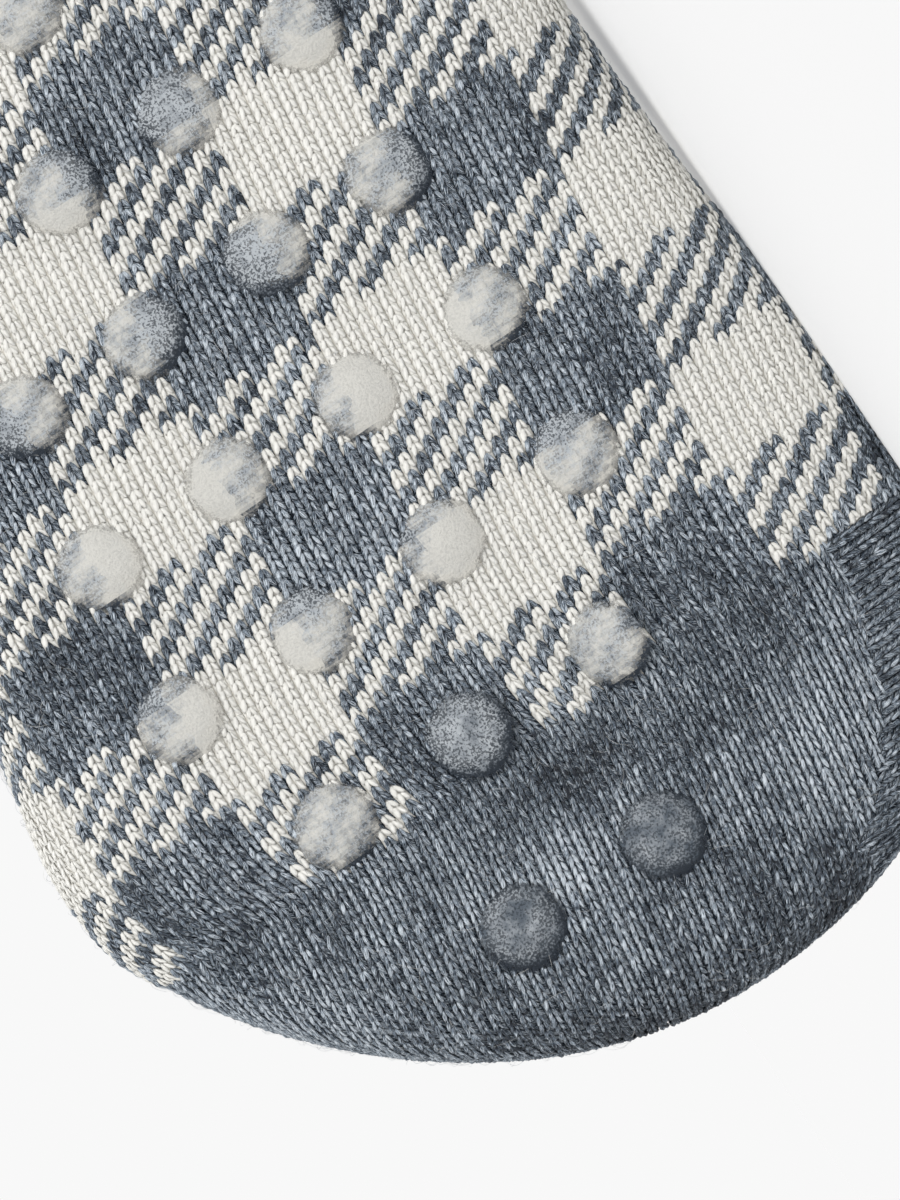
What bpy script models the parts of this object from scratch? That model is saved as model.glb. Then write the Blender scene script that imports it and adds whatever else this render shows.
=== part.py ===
"""A knitted slipper sock with silicone grip dots, empty and lying on its side.

The foot runs along X with its toe at -X, the sole faces -Y and the leg rises towards +Y.
Z is up from the floor, which the sole's edge and the side of the upper and leg both touch.
The shapes are worked out with x growing from heel to toe, and every mesh is then mirrored
across X, which puts the toe at -X.
The sock is knitted in one piece: a hollow wall, open at the ribbed collar. A linking seam
closes it across the top of the toe, and the grip dots sit on the sole.
"""
import math

import bmesh
import bpy
import numpy as np
from mathutils import Matrix, Vector
from mathutils.bvhtree import BVHTree

MM = 0.001

# The foot, in millimetres
FOOT_LENGTH = 240.0
TOE_LENGTH = 32.0
BALL_WIDTH = 90.0
INSTEP_HEIGHT = 68.0
HEEL_WIDTH = 66.0
ANKLE_HEIGHT = 100.0

# The leg, in millimetres: how far it stands in from the heel's back, and its own sizes
LEG_SETBACK = 10.0
LEG_DEPTH = 76.0
LEG_THICKNESS = 52.0
LEG_HEIGHT = 174.0

# The knitted wall and its ribbed cuff, in millimetres
WALL = 2.2
CUFF_DEPTH = 34.0
CUFF_STEP = 0.6
SETTLE = 0.8

# The linking seam across the top of the toe, in millimetres and degrees above the side line
SEAM_WIDTH = 2.2
SEAM_HEIGHT = 1.0
SEAM_START_ANGLE = 14.0
SEAM_END_ANGLE = 144.0

# The grip dots, in millimetres
DOT_DIAMETER = 8.4
DOT_HEIGHT = 1.5
TOUCH_GAP = 0.3

# The number of corners round a section, of sections round the toe and of sections per table row
ROUND_STEPS = 36
TOE_STEPS = 22
STEPS_PER_ROW = 2
DOT_CORNER_COUNT = 10

BODY_LENGTH = FOOT_LENGTH - TOE_LENGTH

# Sections of the foot, from the toe's start to the back of the arch.
# sole x, instep x: shares of BODY_LENGTH; instep y: share of INSTEP_HEIGHT;
# low, high: the edges' heights above the floor, shares of BALL_WIDTH;
# side: where the widest line lies from sole to instep; the powers square the two halves.
FOOT_SECTIONS = (
    # name,         sole x, instep x, instep y, low,   high,  side, sole power, instep power
    ("toe start",   1.000,  1.000,    0.574,    0.000, 0.972, 0.36, 4.5, 2.2),
    ("toe root",    0.974,  0.974,    0.598,    0.000, 0.998, 0.35, 4.5, 2.2),
    ("ball",        0.930,  0.931,    0.642,    0.003, 1.004, 0.33, 4.5, 2.1),
    ("ball back",   0.870,  0.872,    0.706,    0.010, 0.980, 0.31, 4.4, 2.1),
    ("waist front", 0.790,  0.795,    0.783,    0.022, 0.952, 0.30, 4.2, 2.1),
    ("waist",       0.680,  0.690,    0.877,    0.028, 0.912, 0.30, 4.1, 2.1),
    ("arch",        0.553,  0.575,    1.000,    0.026, 0.862, 0.30, 3.9, 2.1),
)

# Sections round the heel and ankle.
# back x: share of BODY_LENGTH; back y: share of ANKLE_HEIGHT;
# front x, front y: shares of the way from the arch's instep to the start of the leg's front,
# which lies at LEG_FRONT_START times ANKLE_HEIGHT; high: share of HEEL_WIDTH; the rest as above.
LEG_FRONT_START = 1.24
HEEL_SECTIONS = (
    # name,         back x, back y, front x, front y, low,   high,  side, back power, front power
    ("arch back",   0.385,  0.000,  0.56,    0.22,    0.014, 1.100, 0.30, 3.7, 2.1),
    ("heel front",  0.225,  0.003,  0.82,    0.42,    0.000, 1.035, 0.32, 3.4, 2.2),
    ("heel base",   0.098,  0.040,  0.92,    0.55,    0.000, 1.000, 0.38, 3.0, 2.2),
    ("heel back",   0.018,  0.200,  0.97,    0.67,    0.000, 0.960, 0.45, 2.5, 2.2),
    ("heel top",    0.000,  0.450,  1.00,    0.80,    0.000, 0.905, 0.50, 2.2, 2.2),
    ("tendon",      0.030,  0.800,  1.00,    0.95,    0.000, 0.845, 0.50, 2.2, 2.2),
)

# Sections of the leg, from the ankle to the collar.
# back x, front x: shares of LEG_DEPTH from the leg's back line; up: share of the way from the
# ankle to the collar; high: share of LEG_THICKNESS; side and powers as above.
LEG_SECTIONS = (
    # name,         back x, front x, back up, front up, low,   high,  side, back power, front power
    ("ankle",       0.010,  1.000,   0.20,    0.42,     0.000, 1.020, 0.50, 2.2, 2.2),
    ("leg",         0.000,  1.000,   0.58,    0.67,     0.000, 1.000, 0.50, 2.2, 2.2),
    ("collar",     -0.020,  1.030,   1.00,    1.00,     0.000, 1.000, 0.50, 2.2, 2.2),
)

# The toe's outline seen from the sole. Each side is a curve from its widest place to the tip.
# start: how far the widest place lies from the tip, in shares of TOE_LENGTH;
# width: the side's greatest distance from the tip's height, in shares of BALL_WIDTH.
TOE_TIP_HEIGHT = 0.422
TOE_UPPER_SIDE = {"start": 1.281, "width": 0.582, "power": 1.4}
TOE_LOWER_SIDE = {"start": 0.853, "width": 0.422, "power": 2.0}
TOE_TOP_SLOPE = 0.45
TOE_NOSE_RISE = 0.08

# Rows of grip dots, from the toe to the heel.
# from tip: share of FOOT_LENGTH; middle: height of the row's middle, share of BALL_WIDTH;
# pitch: distance between its dots, share of BALL_WIDTH.
DOT_ROWS = (
    # name,        from tip, dots, middle, pitch
    ("toe tip",    0.0719,   2,    0.521,  0.180),
    ("toe",        0.1479,   3,    0.543,  0.174),
    ("ball 1",     0.2183,   4,    0.536,  0.170),
    ("ball 2",     0.2871,   4,    0.523,  0.165),
    ("ball 3",     0.3542,   4,    0.514,  0.157),
    ("waist 1",    0.4208,   4,    0.506,  0.156),
    ("waist 2",    0.4900,   3,    0.509,  0.158),
    ("arch 1",     0.5580,   4,    0.485,  0.148),
    ("arch 2",     0.6260,   3,    0.462,  0.148),
    ("arch 3",     0.6940,   4,    0.438,  0.142),
    ("heel 1",     0.7620,   3,    0.412,  0.142),
    ("heel 2",     0.8300,   3,    0.392,  0.142),
    ("heel 3",     0.8980,   2,    0.378,  0.142),
)

MARL_BLUE = (0.190, 0.245, 0.310, 1.0)
THREAD_BLUE = (0.150, 0.195, 0.255, 1.0)
FROSTED_SILICONE = (0.420, 0.470, 0.520, 1.0)


def clear_scene():
    """Remove every object that the scene starts with."""
    for scene_object in list(bpy.data.objects):
        bpy.data.objects.remove(scene_object, do_unlink=True)


def make_material(name, color, roughness):
    """A plain Principled material with no metal in it."""
    material = bpy.data.materials.new(name)
    material.use_nodes = True
    shader = material.node_tree.nodes["Principled BSDF"]
    shader.inputs["Base Color"].default_value = color
    shader.inputs["Roughness"].default_value = roughness
    shader.inputs["Metallic"].default_value = 0.0
    return material


def add_object(name, shape, material):
    """Turn a bmesh in millimetres into a smooth object in metres with its toe end at -X.

    The mirror turns the faces round, so they are set to point out after it.
    """
    shape.transform(Matrix.Diagonal((-MM, MM, MM, 1.0)))
    bmesh.ops.recalc_face_normals(shape, faces=shape.faces)
    mesh = bpy.data.meshes.new(name)
    shape.to_mesh(mesh)
    shape.free()
    mesh.materials.append(material)
    mesh.shade_smooth()
    piece = bpy.data.objects.new(name, mesh)
    bpy.context.scene.collection.objects.link(piece)
    return piece


def section_table():
    """Every section from the toe's start to the collar, in millimetres, one row each.

    Columns: back x, back y, front x, front y, low edge, high edge, side, back power, front power.
    """
    rows = []
    for _, sole_x, instep_x, instep_y, low, high, side, back_power, front_power in FOOT_SECTIONS:
        rows.append((sole_x * BODY_LENGTH, 0.0, instep_x * BODY_LENGTH, instep_y * INSTEP_HEIGHT,
                     low * BALL_WIDTH, high * BALL_WIDTH, side, back_power, front_power))
    instep_end = np.array(rows[-1][2:4])
    leg_front = np.array((LEG_SETBACK + LEG_DEPTH, LEG_FRONT_START * ANKLE_HEIGHT))
    bend = leg_front - instep_end
    for _, back_x, back_y, front_x, front_y, low, high, side, back_power, front_power in HEEL_SECTIONS:
        front = instep_end + bend * (front_x, front_y)
        rows.append((back_x * BODY_LENGTH, back_y * ANKLE_HEIGHT, front[0], front[1],
                     low * BALL_WIDTH, high * HEEL_WIDTH, side, back_power, front_power))
    leg_rise = LEG_HEIGHT - ANKLE_HEIGHT
    for _, back_x, front_x, back_up, front_up, low, high, side, back_power, front_power in LEG_SECTIONS:
        rows.append((LEG_SETBACK + back_x * LEG_DEPTH, ANKLE_HEIGHT + back_up * leg_rise,
                     LEG_SETBACK + front_x * LEG_DEPTH, ANKLE_HEIGHT + front_up * leg_rise,
                     low * BALL_WIDTH, high * LEG_THICKNESS, side, back_power, front_power))
    return np.array(rows)


def smooth_rows(table, places):
    """Read the table between its rows on cubic curves whose slopes blend the neighbours'."""
    steps = np.diff(table, axis=0)
    slopes = np.empty_like(table)
    slopes[1:-1] = 0.5 * (steps[:-1] + steps[1:])
    slopes[0] = steps[0]
    slopes[-1] = steps[-1]
    row = np.clip(places.astype(int), 0, len(table) - 2)
    t = (places - row)[:, None]
    start = (2 * t**3 - 3 * t**2 + 1) * table[row] + (t**3 - 2 * t**2 + t) * slopes[row]
    end = (3 * t**2 - 2 * t**3) * table[row + 1] + (t**3 - t**2) * slopes[row + 1]
    return start + end


def section_ring(section, inset):
    """The closed ring of one section, taken in by inset, starting at the sole's middle.

    Each ring is two superellipse halves that meet on the widest line, the sole's half squarer.
    The floor flattens its low side.
    """
    back = section[0:2]
    front = section[2:4]
    low, high, side, back_power, front_power = section[4:9]
    height = np.linalg.norm(front - back)
    forward = (front - back) / height
    middle = 0.5 * (low + high)
    angles = np.radians(-90.0 + 360.0 * np.arange(ROUND_STEPS) / ROUND_STEPS)
    sine = np.sin(angles)
    cosine = np.cos(angles)
    power = np.where(sine < 0.0, back_power, front_power)
    across = np.sign(cosine) * np.abs(cosine) ** (2.0 / power)
    along = np.sign(sine) * np.abs(sine) ** (2.0 / power)
    width = np.where(cosine < 0.0, middle - low + SETTLE, high - middle) - inset
    depth = np.where(sine < 0.0, side * height, (1.0 - side) * height) - inset
    from_back = side * height + along * depth
    ring = np.empty((ROUND_STEPS, 3))
    ring[:, 0:2] = back + from_back[:, None] * forward
    ring[:, 2] = np.maximum(middle + across * width, max(inset, 0.0))
    return ring


def toe_reach(center, angles):
    """Distance from the toe's start to the toe's outline, in each direction in the sole's plane."""
    spread = np.linspace(0.0, 1.0, 400) ** 0.5
    points = []
    for side, sign in ((TOE_LOWER_SIDE, -1.0), (TOE_UPPER_SIDE, 1.0)):
        start = FOOT_LENGTH - side["start"] * TOE_LENGTH
        run = side["start"] * TOE_LENGTH
        width = side["width"] * BALL_WIDTH + (SETTLE if sign < 0.0 else 0.0)
        out = width * np.sqrt(1.0 - spread ** side["power"])
        x = start + spread * run
        z = TOE_TIP_HEIGHT * BALL_WIDTH + sign * out
        if sign < 0.0:
            x = np.append(center[0], x)
            z = np.append(z[0], z)
            points.extend(zip(x, z))
        else:
            points.extend(zip(x[::-1], z[::-1]))
    points = np.array(points)
    points = points[points[:, 0] >= center[0]] - center
    directions = np.arctan2(points[:, 1], points[:, 0])
    order = np.argsort(directions)
    reach = np.hypot(points[:, 0], points[:, 1])
    return np.interp(angles, directions[order], reach[order])


def toe_profiles(section, inset):
    """Half sections fanned round the toe, from the floor's side over the nose to the upper side.

    Each runs from the sole's middle out to the outline and back to the middle of the toe's top.
    """
    low, high, side, sole_power, top_power = section[4:9]
    center = np.array((section[0], 0.5 * (low + high)))
    height = section[3]
    turns = np.radians(np.linspace(-90.0, 90.0, TOE_STEPS + 1))[1:-1]
    angles = np.radians(-90.0 + 180.0 * np.arange(ROUND_STEPS // 2 + 1) / (ROUND_STEPS // 2))
    upper = np.sin(angles) > 0.0
    profiles = []
    for turn, reach in zip(turns, toe_reach(center, turns)):
        side_height = (side + TOE_NOSE_RISE * math.cos(turn)) * height
        power = np.where(upper, top_power, sole_power)
        across = np.abs(np.cos(angles)) ** (2.0 / power)
        along = np.sign(np.sin(angles)) * np.abs(np.sin(angles)) ** (2.0 / power)
        depth = np.where(upper, height - side_height, side_height) - inset
        slope = np.where(upper, 1.0 - TOE_TOP_SLOPE * math.cos(turn) * across, 1.0)
        distance = across * (reach - inset)
        profile = np.empty((len(angles), 3))
        profile[:, 0] = center[0] + distance * math.cos(turn)
        profile[:, 1] = side_height + along * depth * slope
        profile[:, 2] = np.maximum(center[1] + distance * math.sin(turn), inset)
        profiles.append(profile)
    return profiles


def add_loop(shape, points):
    """Add a list of corners to the shape."""
    return [shape.verts.new(point) for point in points]


def join_loops(shape, first, second, closed):
    """Join two equal rows of corners with quads, or triangles where both rows share a corner."""
    count = len(first)
    for index in range(count if closed else count - 1):
        after = (index + 1) % count
        corners = []
        for corner in (first[index], first[after], second[after], second[index]):
            if corner not in corners:
                corners.append(corner)
        shape.faces.new(corners)


def build_skin(shape, sections, insets):
    """Add one skin of the sock, from the toe to the collar, and return its ring at the collar."""
    rings = [add_loop(shape, section_ring(section, inset)) for section, inset in zip(sections, insets)]
    for first, second in zip(rings, rings[1:]):
        join_loops(shape, first, second, closed=True)
    half = ROUND_STEPS // 2
    start = rings[0]
    sole_corner = start[0]
    top_corner = start[half]
    upper_half = start[0:half + 1]
    lower_half = [sole_corner] + start[:half - 1:-1]
    fan = [lower_half]
    for profile in toe_profiles(sections[0], insets[0]):
        fan.append([sole_corner] + add_loop(shape, profile[1:-1]) + [top_corner])
    fan.append(upper_half)
    for first, second in zip(fan, fan[1:]):
        join_loops(shape, first, second, closed=False)
    return rings[-1]


def cuff_insets(sections):
    """The outer skin's inset at each section: none on the leg, and a step out at the cuff."""
    below_collar = LEG_HEIGHT - 0.5 * (sections[:, 1] + sections[:, 3])
    return np.where(below_collar < CUFF_DEPTH, -CUFF_STEP, 0.0)


def sock_sections():
    """The sections that the sock is lofted through, with a close pair at the cuff's step."""
    table = section_table()
    places = np.linspace(0.0, len(table) - 1.0, (len(table) - 1) * STEPS_PER_ROW + 1)
    fine = smooth_rows(table, np.linspace(0.0, len(table) - 1.0, 2000))
    below_collar = LEG_HEIGHT - 0.5 * (fine[:, 1] + fine[:, 3])
    step_place = np.interp(-CUFF_DEPTH, -below_collar, np.linspace(0.0, len(table) - 1.0, 2000))
    step_run = 0.5 * CUFF_STEP / (LEG_HEIGHT - ANKLE_HEIGHT)
    clear = np.abs(places - step_place) > 3.0 * step_run
    places = np.sort(np.concatenate((places[clear], (step_place - step_run, step_place + step_run))))
    return smooth_rows(table, places)


def build_sock(sections):
    """The whole knitted wall: outer skin, inner skin and the flat rim between them at the collar."""
    shape = bmesh.new()
    outer = build_skin(shape, sections, cuff_insets(sections))
    inner = build_skin(shape, sections, np.full(len(sections), WALL))
    join_loops(shape, outer, inner, closed=True)
    return shape


def seam_path(section, angles):
    """Points of a section's top half at the given angles above the side line."""
    low, high, side, _, power = section[4:9]
    middle = 0.5 * (low + high)
    across = np.sign(np.cos(angles)) * np.abs(np.cos(angles)) ** (2.0 / power)
    along = np.abs(np.sin(angles)) ** (2.0 / power)
    height = side * section[3] + along * (1.0 - side) * section[3]
    width = np.where(across < 0.0, middle - low + SETTLE, high - middle)
    return np.stack((np.full(len(angles), section[2]), height, middle + across * width), axis=1)


def build_seam(section, behind):
    """The linking seam: a low rounded ridge that follows the toe's start from side to side.

    It lies on the plane of the wall there, which rises towards the section behind it.
    """
    angles = np.radians(np.linspace(SEAM_START_ANGLE, SEAM_END_ANGLE, 27))
    path = seam_path(section, angles)
    back = seam_path(behind, angles) - path
    back /= np.linalg.norm(back, axis=1)[:, None]
    out = np.cross(np.gradient(path, axis=0), back)
    out /= np.linalg.norm(out, axis=1)[:, None]
    half = 0.5 * SEAM_WIDTH
    outline = ((-half, 0.0), (-0.7 * half, 0.75 * SEAM_HEIGHT), (0.0, SEAM_HEIGHT),
               (0.7 * half, 0.75 * SEAM_HEIGHT), (half, 0.0))
    shape = bmesh.new()
    loops = []
    for point, toward_heel, away in zip(path, back, out):
        loops.append(add_loop(shape, [point + along * toward_heel + (lift + TOUCH_GAP) * away
                                      for along, lift in outline]))
    for first, second in zip(loops, loops[1:]):
        join_loops(shape, first, second, closed=True)
    shape.faces.new(loops[0])
    shape.faces.new(loops[-1])
    return shape


def build_dot():
    """A low round dome whose flat base lies on Z = 0."""
    shape = bmesh.new()
    radius = 0.5 * DOT_DIAMETER
    levels = ((1.0, 0.0), (0.95, 0.40), (0.72, 0.80), (0.38, 0.97))
    turns = [2.0 * math.pi * index / DOT_CORNER_COUNT for index in range(DOT_CORNER_COUNT)]
    loops = []
    for share, lift in levels:
        loops.append(add_loop(shape, [(radius * share * math.cos(turn), radius * share * math.sin(turn),
                                       DOT_HEIGHT * lift) for turn in turns]))
    for first, second in zip(loops, loops[1:]):
        join_loops(shape, first, second, closed=True)
    top = shape.verts.new((0.0, 0.0, DOT_HEIGHT))
    for index in range(DOT_CORNER_COUNT):
        shape.faces.new((loops[-1][index], loops[-1][(index + 1) % DOT_CORNER_COUNT], top))
    shape.faces.new(loops[0][::-1])
    return shape


def place_dots(skin, material):
    """Seat every grip dot on the sole, square to the surface under its middle."""
    count = 0
    for _, from_tip, dots, middle, pitch in DOT_ROWS:
        for index in range(dots):
            count += 1
            x = FOOT_LENGTH * (1.0 - from_tip)
            z = BALL_WIDTH * (middle + pitch * (index - 0.5 * (dots - 1)))
            spot, normal, _, _ = skin.ray_cast(Vector((x, -FOOT_LENGTH, z)), Vector((0.0, 1.0, 0.0)))
            shape = build_dot()
            turn = Vector((0.0, 0.0, 1.0)).rotation_difference(normal)
            shape.transform(Matrix.Translation(spot + normal * TOUCH_GAP) @ turn.to_matrix().to_4x4())
            add_object(f"grip_dot_{count:02d}", shape, material)


def center_on_floor():
    """Move all pieces so that the origin is under the middle of the sock's box, on the floor."""
    meshes = [piece.data for piece in bpy.context.scene.objects]
    corners = np.array([tuple(vertex.co) for mesh in meshes for vertex in mesh.vertices])
    middle = 0.5 * (corners.min(axis=0) + corners.max(axis=0))
    shift = Matrix.Translation((-middle[0], -middle[1], -corners[:, 2].min()))
    for mesh in meshes:
        mesh.transform(shift)


def build_all():
    """Build the sock, its seam and its dots."""
    clear_scene()
    sections = sock_sections()
    sock = build_sock(sections)
    bmesh.ops.recalc_face_normals(sock, faces=sock.faces)
    skin = BVHTree.FromBMesh(sock)
    add_object("knitted_sock", sock, make_material("marl and cream knit", MARL_BLUE, 0.95))
    add_object("toe_seam", build_seam(sections[0], sections[1]), make_material("linking thread", THREAD_BLUE, 0.90))
    place_dots(skin, make_material("frosted silicone", FROSTED_SILICONE, 0.45))
    center_on_floor()


build_all()
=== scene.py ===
"""A knitted slipper sock with silicone grip dots, lying on its side on a pale floor."""
import math

import bpy
import numpy as np
from mathutils import Matrix, Vector


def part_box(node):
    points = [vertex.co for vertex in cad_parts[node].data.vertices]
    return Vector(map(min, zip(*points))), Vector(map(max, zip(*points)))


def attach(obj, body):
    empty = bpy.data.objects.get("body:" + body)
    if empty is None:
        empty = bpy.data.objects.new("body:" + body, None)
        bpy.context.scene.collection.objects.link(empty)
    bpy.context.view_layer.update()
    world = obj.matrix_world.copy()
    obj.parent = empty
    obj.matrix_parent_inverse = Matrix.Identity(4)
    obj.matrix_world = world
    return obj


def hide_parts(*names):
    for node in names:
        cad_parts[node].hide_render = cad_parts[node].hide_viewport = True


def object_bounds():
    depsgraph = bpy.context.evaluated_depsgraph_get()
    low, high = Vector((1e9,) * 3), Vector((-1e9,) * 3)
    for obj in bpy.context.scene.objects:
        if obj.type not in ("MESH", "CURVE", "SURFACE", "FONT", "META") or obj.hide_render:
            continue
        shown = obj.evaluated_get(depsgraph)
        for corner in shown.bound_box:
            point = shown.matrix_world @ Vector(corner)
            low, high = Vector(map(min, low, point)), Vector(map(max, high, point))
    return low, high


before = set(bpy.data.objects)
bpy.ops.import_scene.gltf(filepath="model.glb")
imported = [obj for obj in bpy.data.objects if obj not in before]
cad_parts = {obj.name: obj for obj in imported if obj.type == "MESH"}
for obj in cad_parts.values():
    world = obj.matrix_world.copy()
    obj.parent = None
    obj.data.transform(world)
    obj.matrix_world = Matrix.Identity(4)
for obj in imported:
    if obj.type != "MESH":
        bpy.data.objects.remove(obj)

CAD_LOW, CAD_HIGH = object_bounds()

# The stage: a plain pale floor and a white surround, with a soft key light from the heel's side.
# The camera looks square at the sole near its toe, and is rolled as the photograph's is.
# Its lens fits FRAME_HEIGHT metres of the sole into the height of the picture.
LOOK_FROM_TIP = 0.0475
LOOK_HEIGHT = 0.0432
CAMERA_DISTANCE = 0.90
FRAME_HEIGHT = 0.1152
CAMERA_ROLL_DEG = 34.0
SENSOR_HEIGHT_MM = 36.0
NEAREST_SEEN = 0.01
FLOOR_REACH = 90.0
FLOOR_BEFORE = 9.0
FLOOR_ALBEDO = 0.55
FLOOR_GLOW = 0.361
SURROUND_WHITE = 0.94
SURROUND_BRIGHT = 1.35
SURROUND_DIM = 0.20
WHITE_LEANS = (0.3, 0.8)
KEY_SIDE_LEANS = (-0.8, 0.9)
KEY_DIRECTION = (0.44, -0.80, 0.30)
KEY_STRENGTH = 0.8
KEY_SPREAD_DEG = 26.0

stage = bpy.context.scene
stage.view_settings.view_transform = "Standard"
stage.view_settings.look = "None"

floor_mesh = bpy.data.meshes.new("floor")
floor_corners = [(-FLOOR_REACH, -FLOOR_BEFORE, 0), (FLOOR_REACH, -FLOOR_BEFORE, 0),
                 (FLOOR_REACH, FLOOR_REACH, 0), (-FLOOR_REACH, FLOOR_REACH, 0)]
floor_mesh.from_pydata(floor_corners, [], [(0, 1, 2, 3)])
floor_object = bpy.data.objects.new("floor", floor_mesh)
stage.collection.objects.link(floor_object)
floor_material = bpy.data.materials.new("pale floor lit from below")
floor_material.use_nodes = True
floor_shader = floor_material.node_tree.nodes["Principled BSDF"]
floor_shader.inputs["Base Color"].default_value = (FLOOR_ALBEDO, FLOOR_ALBEDO, FLOOR_ALBEDO, 1.0)
floor_shader.inputs["Roughness"].default_value = 1.0
floor_shader.inputs["Specular IOR Level"].default_value = 0.0
floor_shader.inputs["Emission Color"].default_value = (1.0, 1.0, 1.0, 1.0)
floor_shader.inputs["Emission Strength"].default_value = FLOOR_GLOW
floor_mesh.materials.append(floor_material)

# The surround is white behind the sock, brighter on the key light's side and dimmer on the other
surround = bpy.data.worlds.new("white surround")
surround.use_nodes = True
sky = surround.node_tree
sky_direction = sky.nodes.new("ShaderNodeTexCoord").outputs["Generated"]


def sky_span(axis, leans, least, most):
    """The sky's light: how far its direction leans along an axis, taken from leans to least..most."""
    lean = sky.nodes.new("ShaderNodeVectorMath")
    lean.operation = "DOT_PRODUCT"
    lean.inputs[1].default_value = axis
    sky.links.new(sky_direction, lean.inputs[0])
    span = sky.nodes.new("ShaderNodeMapRange")
    span.interpolation_type = "SMOOTHSTEP"
    sky.links.new(lean.outputs["Value"], span.inputs["Value"])
    for name, value in zip(("From Min", "From Max", "To Min", "To Max"), (*leans, least, most)):
        span.inputs[name].default_value = value
    return span.outputs["Result"]


key_axis = Vector(KEY_DIRECTION).normalized()
brighter = sky.nodes.new("ShaderNodeMath")
brighter.operation = "MAXIMUM"
sky.links.new(sky_span((0.0, 1.0, 0.0), WHITE_LEANS, 0.0, SURROUND_WHITE), brighter.inputs[0])
sky.links.new(sky_span(key_axis, KEY_SIDE_LEANS, SURROUND_DIM, SURROUND_BRIGHT), brighter.inputs[1])
sky.links.new(brighter.outputs[0], sky.nodes["Background"].inputs["Color"])
sky.nodes["Background"].inputs["Strength"].default_value = 1.0
stage.world = surround

key_light = bpy.data.lights.new("key light", "SUN")
key_light.energy = KEY_STRENGTH
key_light.angle = math.radians(KEY_SPREAD_DEG)
key_holder = bpy.data.objects.new("key light", key_light)
key_holder.rotation_euler = (-key_axis).to_track_quat("-Z", "Y").to_euler()
stage.collection.objects.link(key_holder)

look_point = Vector((CAD_LOW.x + LOOK_FROM_TIP, CAD_LOW.y, LOOK_HEIGHT))
roll = math.radians(CAMERA_ROLL_DEG)
image_right = Vector((-math.sin(roll), 0.0, -math.cos(roll)))
image_up = Vector((math.cos(roll), 0.0, -math.sin(roll)))
image_back = image_right.cross(image_up)
camera_data = bpy.data.cameras.new("camera")
camera_data.sensor_fit = "VERTICAL"
camera_data.sensor_height = SENSOR_HEIGHT_MM
camera_data.lens = SENSOR_HEIGHT_MM * CAMERA_DISTANCE / FRAME_HEIGHT
camera_data.clip_start = NEAREST_SEEN
camera = bpy.data.objects.new("camera", camera_data)
camera_axes = Matrix((image_right, image_up, image_back)).transposed()
camera.matrix_world = Matrix.Translation(look_point + CAMERA_DISTANCE * image_back) @ camera_axes.to_4x4()
stage.collection.objects.link(camera)
stage.camera = camera

# The sock's form: one knitted tube with a turned heel and a rounded toe, empty and settled on its
# side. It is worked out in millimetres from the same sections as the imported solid, with x from heel
# to toe, y from sole to collar and z up from the floor, and is mirrored in x when a mesh is made.
FOOT_LENGTH = 240.0
TOE_LENGTH = 32.0
BALL_WIDTH = 90.0
INSTEP_HEIGHT = 68.0
HEEL_WIDTH = 66.0
ANKLE_HEIGHT = 100.0
LEG_SETBACK = 10.0
LEG_DEPTH = 76.0
LEG_THICKNESS = 52.0
LEG_HEIGHT = 174.0
LEG_FRONT_START = 1.24
WALL = 2.2
CUFF_DEPTH = 34.0
SETTLE = 0.8
BODY_LENGTH = FOOT_LENGTH - TOE_LENGTH

# sole x, instep x: shares of BODY_LENGTH; instep y: of INSTEP_HEIGHT; low, high: of BALL_WIDTH
FOOT_SECTIONS = (
    # name,         sole x, instep x, instep y, low,   high,  side, sole power, instep power
    ("toe start",   1.000,  1.000,    0.574,    0.000, 0.972, 0.36, 4.5, 2.2),
    ("toe root",    0.974,  0.974,    0.598,    0.000, 0.998, 0.35, 4.5, 2.2),
    ("ball",        0.930,  0.931,    0.642,    0.003, 1.004, 0.33, 4.5, 2.1),
    ("ball back",   0.870,  0.872,    0.706,    0.010, 0.980, 0.31, 4.4, 2.1),
    ("waist front", 0.790,  0.795,    0.783,    0.022, 0.952, 0.30, 4.2, 2.1),
    ("waist",       0.680,  0.690,    0.877,    0.028, 0.912, 0.30, 4.1, 2.1),
    ("arch",        0.553,  0.575,    1.000,    0.026, 0.862, 0.30, 3.9, 2.1),
)
# back x: share of BODY_LENGTH; back y: of ANKLE_HEIGHT; front: of the way to the leg's front;
# low: share of BALL_WIDTH; high: of HEEL_WIDTH
HEEL_SECTIONS = (
    # name,         back x, back y, front x, front y, low,   high,  side, back power, front power
    ("arch back",   0.385,  0.000,  0.56,    0.22,    0.014, 1.100, 0.30, 3.7, 2.1),
    ("heel front",  0.225,  0.003,  0.82,    0.42,    0.000, 1.035, 0.32, 3.4, 2.2),
    ("heel base",   0.098,  0.040,  0.92,    0.55,    0.000, 1.000, 0.38, 3.0, 2.2),
    ("heel back",   0.018,  0.200,  0.97,    0.67,    0.000, 0.960, 0.45, 2.5, 2.2),
    ("heel top",    0.000,  0.450,  1.00,    0.80,    0.000, 0.905, 0.50, 2.2, 2.2),
    ("tendon",      0.030,  0.800,  1.00,    0.95,    0.000, 0.845, 0.50, 2.2, 2.2),
)
# back x, front x: shares of LEG_DEPTH; up: of the way from ankle to collar; high: of LEG_THICKNESS
LEG_SECTIONS = (
    # name,         back x, front x, back up, front up, low,   high,  side, back power, front power
    ("ankle",       0.010,  1.000,   0.20,    0.42,     0.000, 1.020, 0.50, 2.2, 2.2),
    ("leg",         0.000,  1.000,   0.58,    0.67,     0.000, 1.000, 0.50, 2.2, 2.2),
    ("collar",     -0.020,  1.030,   1.00,    1.00,     0.000, 1.000, 0.50, 2.2, 2.2),
)
HEEL_START_PLACE = float(len(FOOT_SECTIONS))
ANKLE_PLACE = float(len(FOOT_SECTIONS) + len(HEEL_SECTIONS))
COLLAR_PLACE = ANKLE_PLACE + len(LEG_SECTIONS) - 1.0

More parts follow.
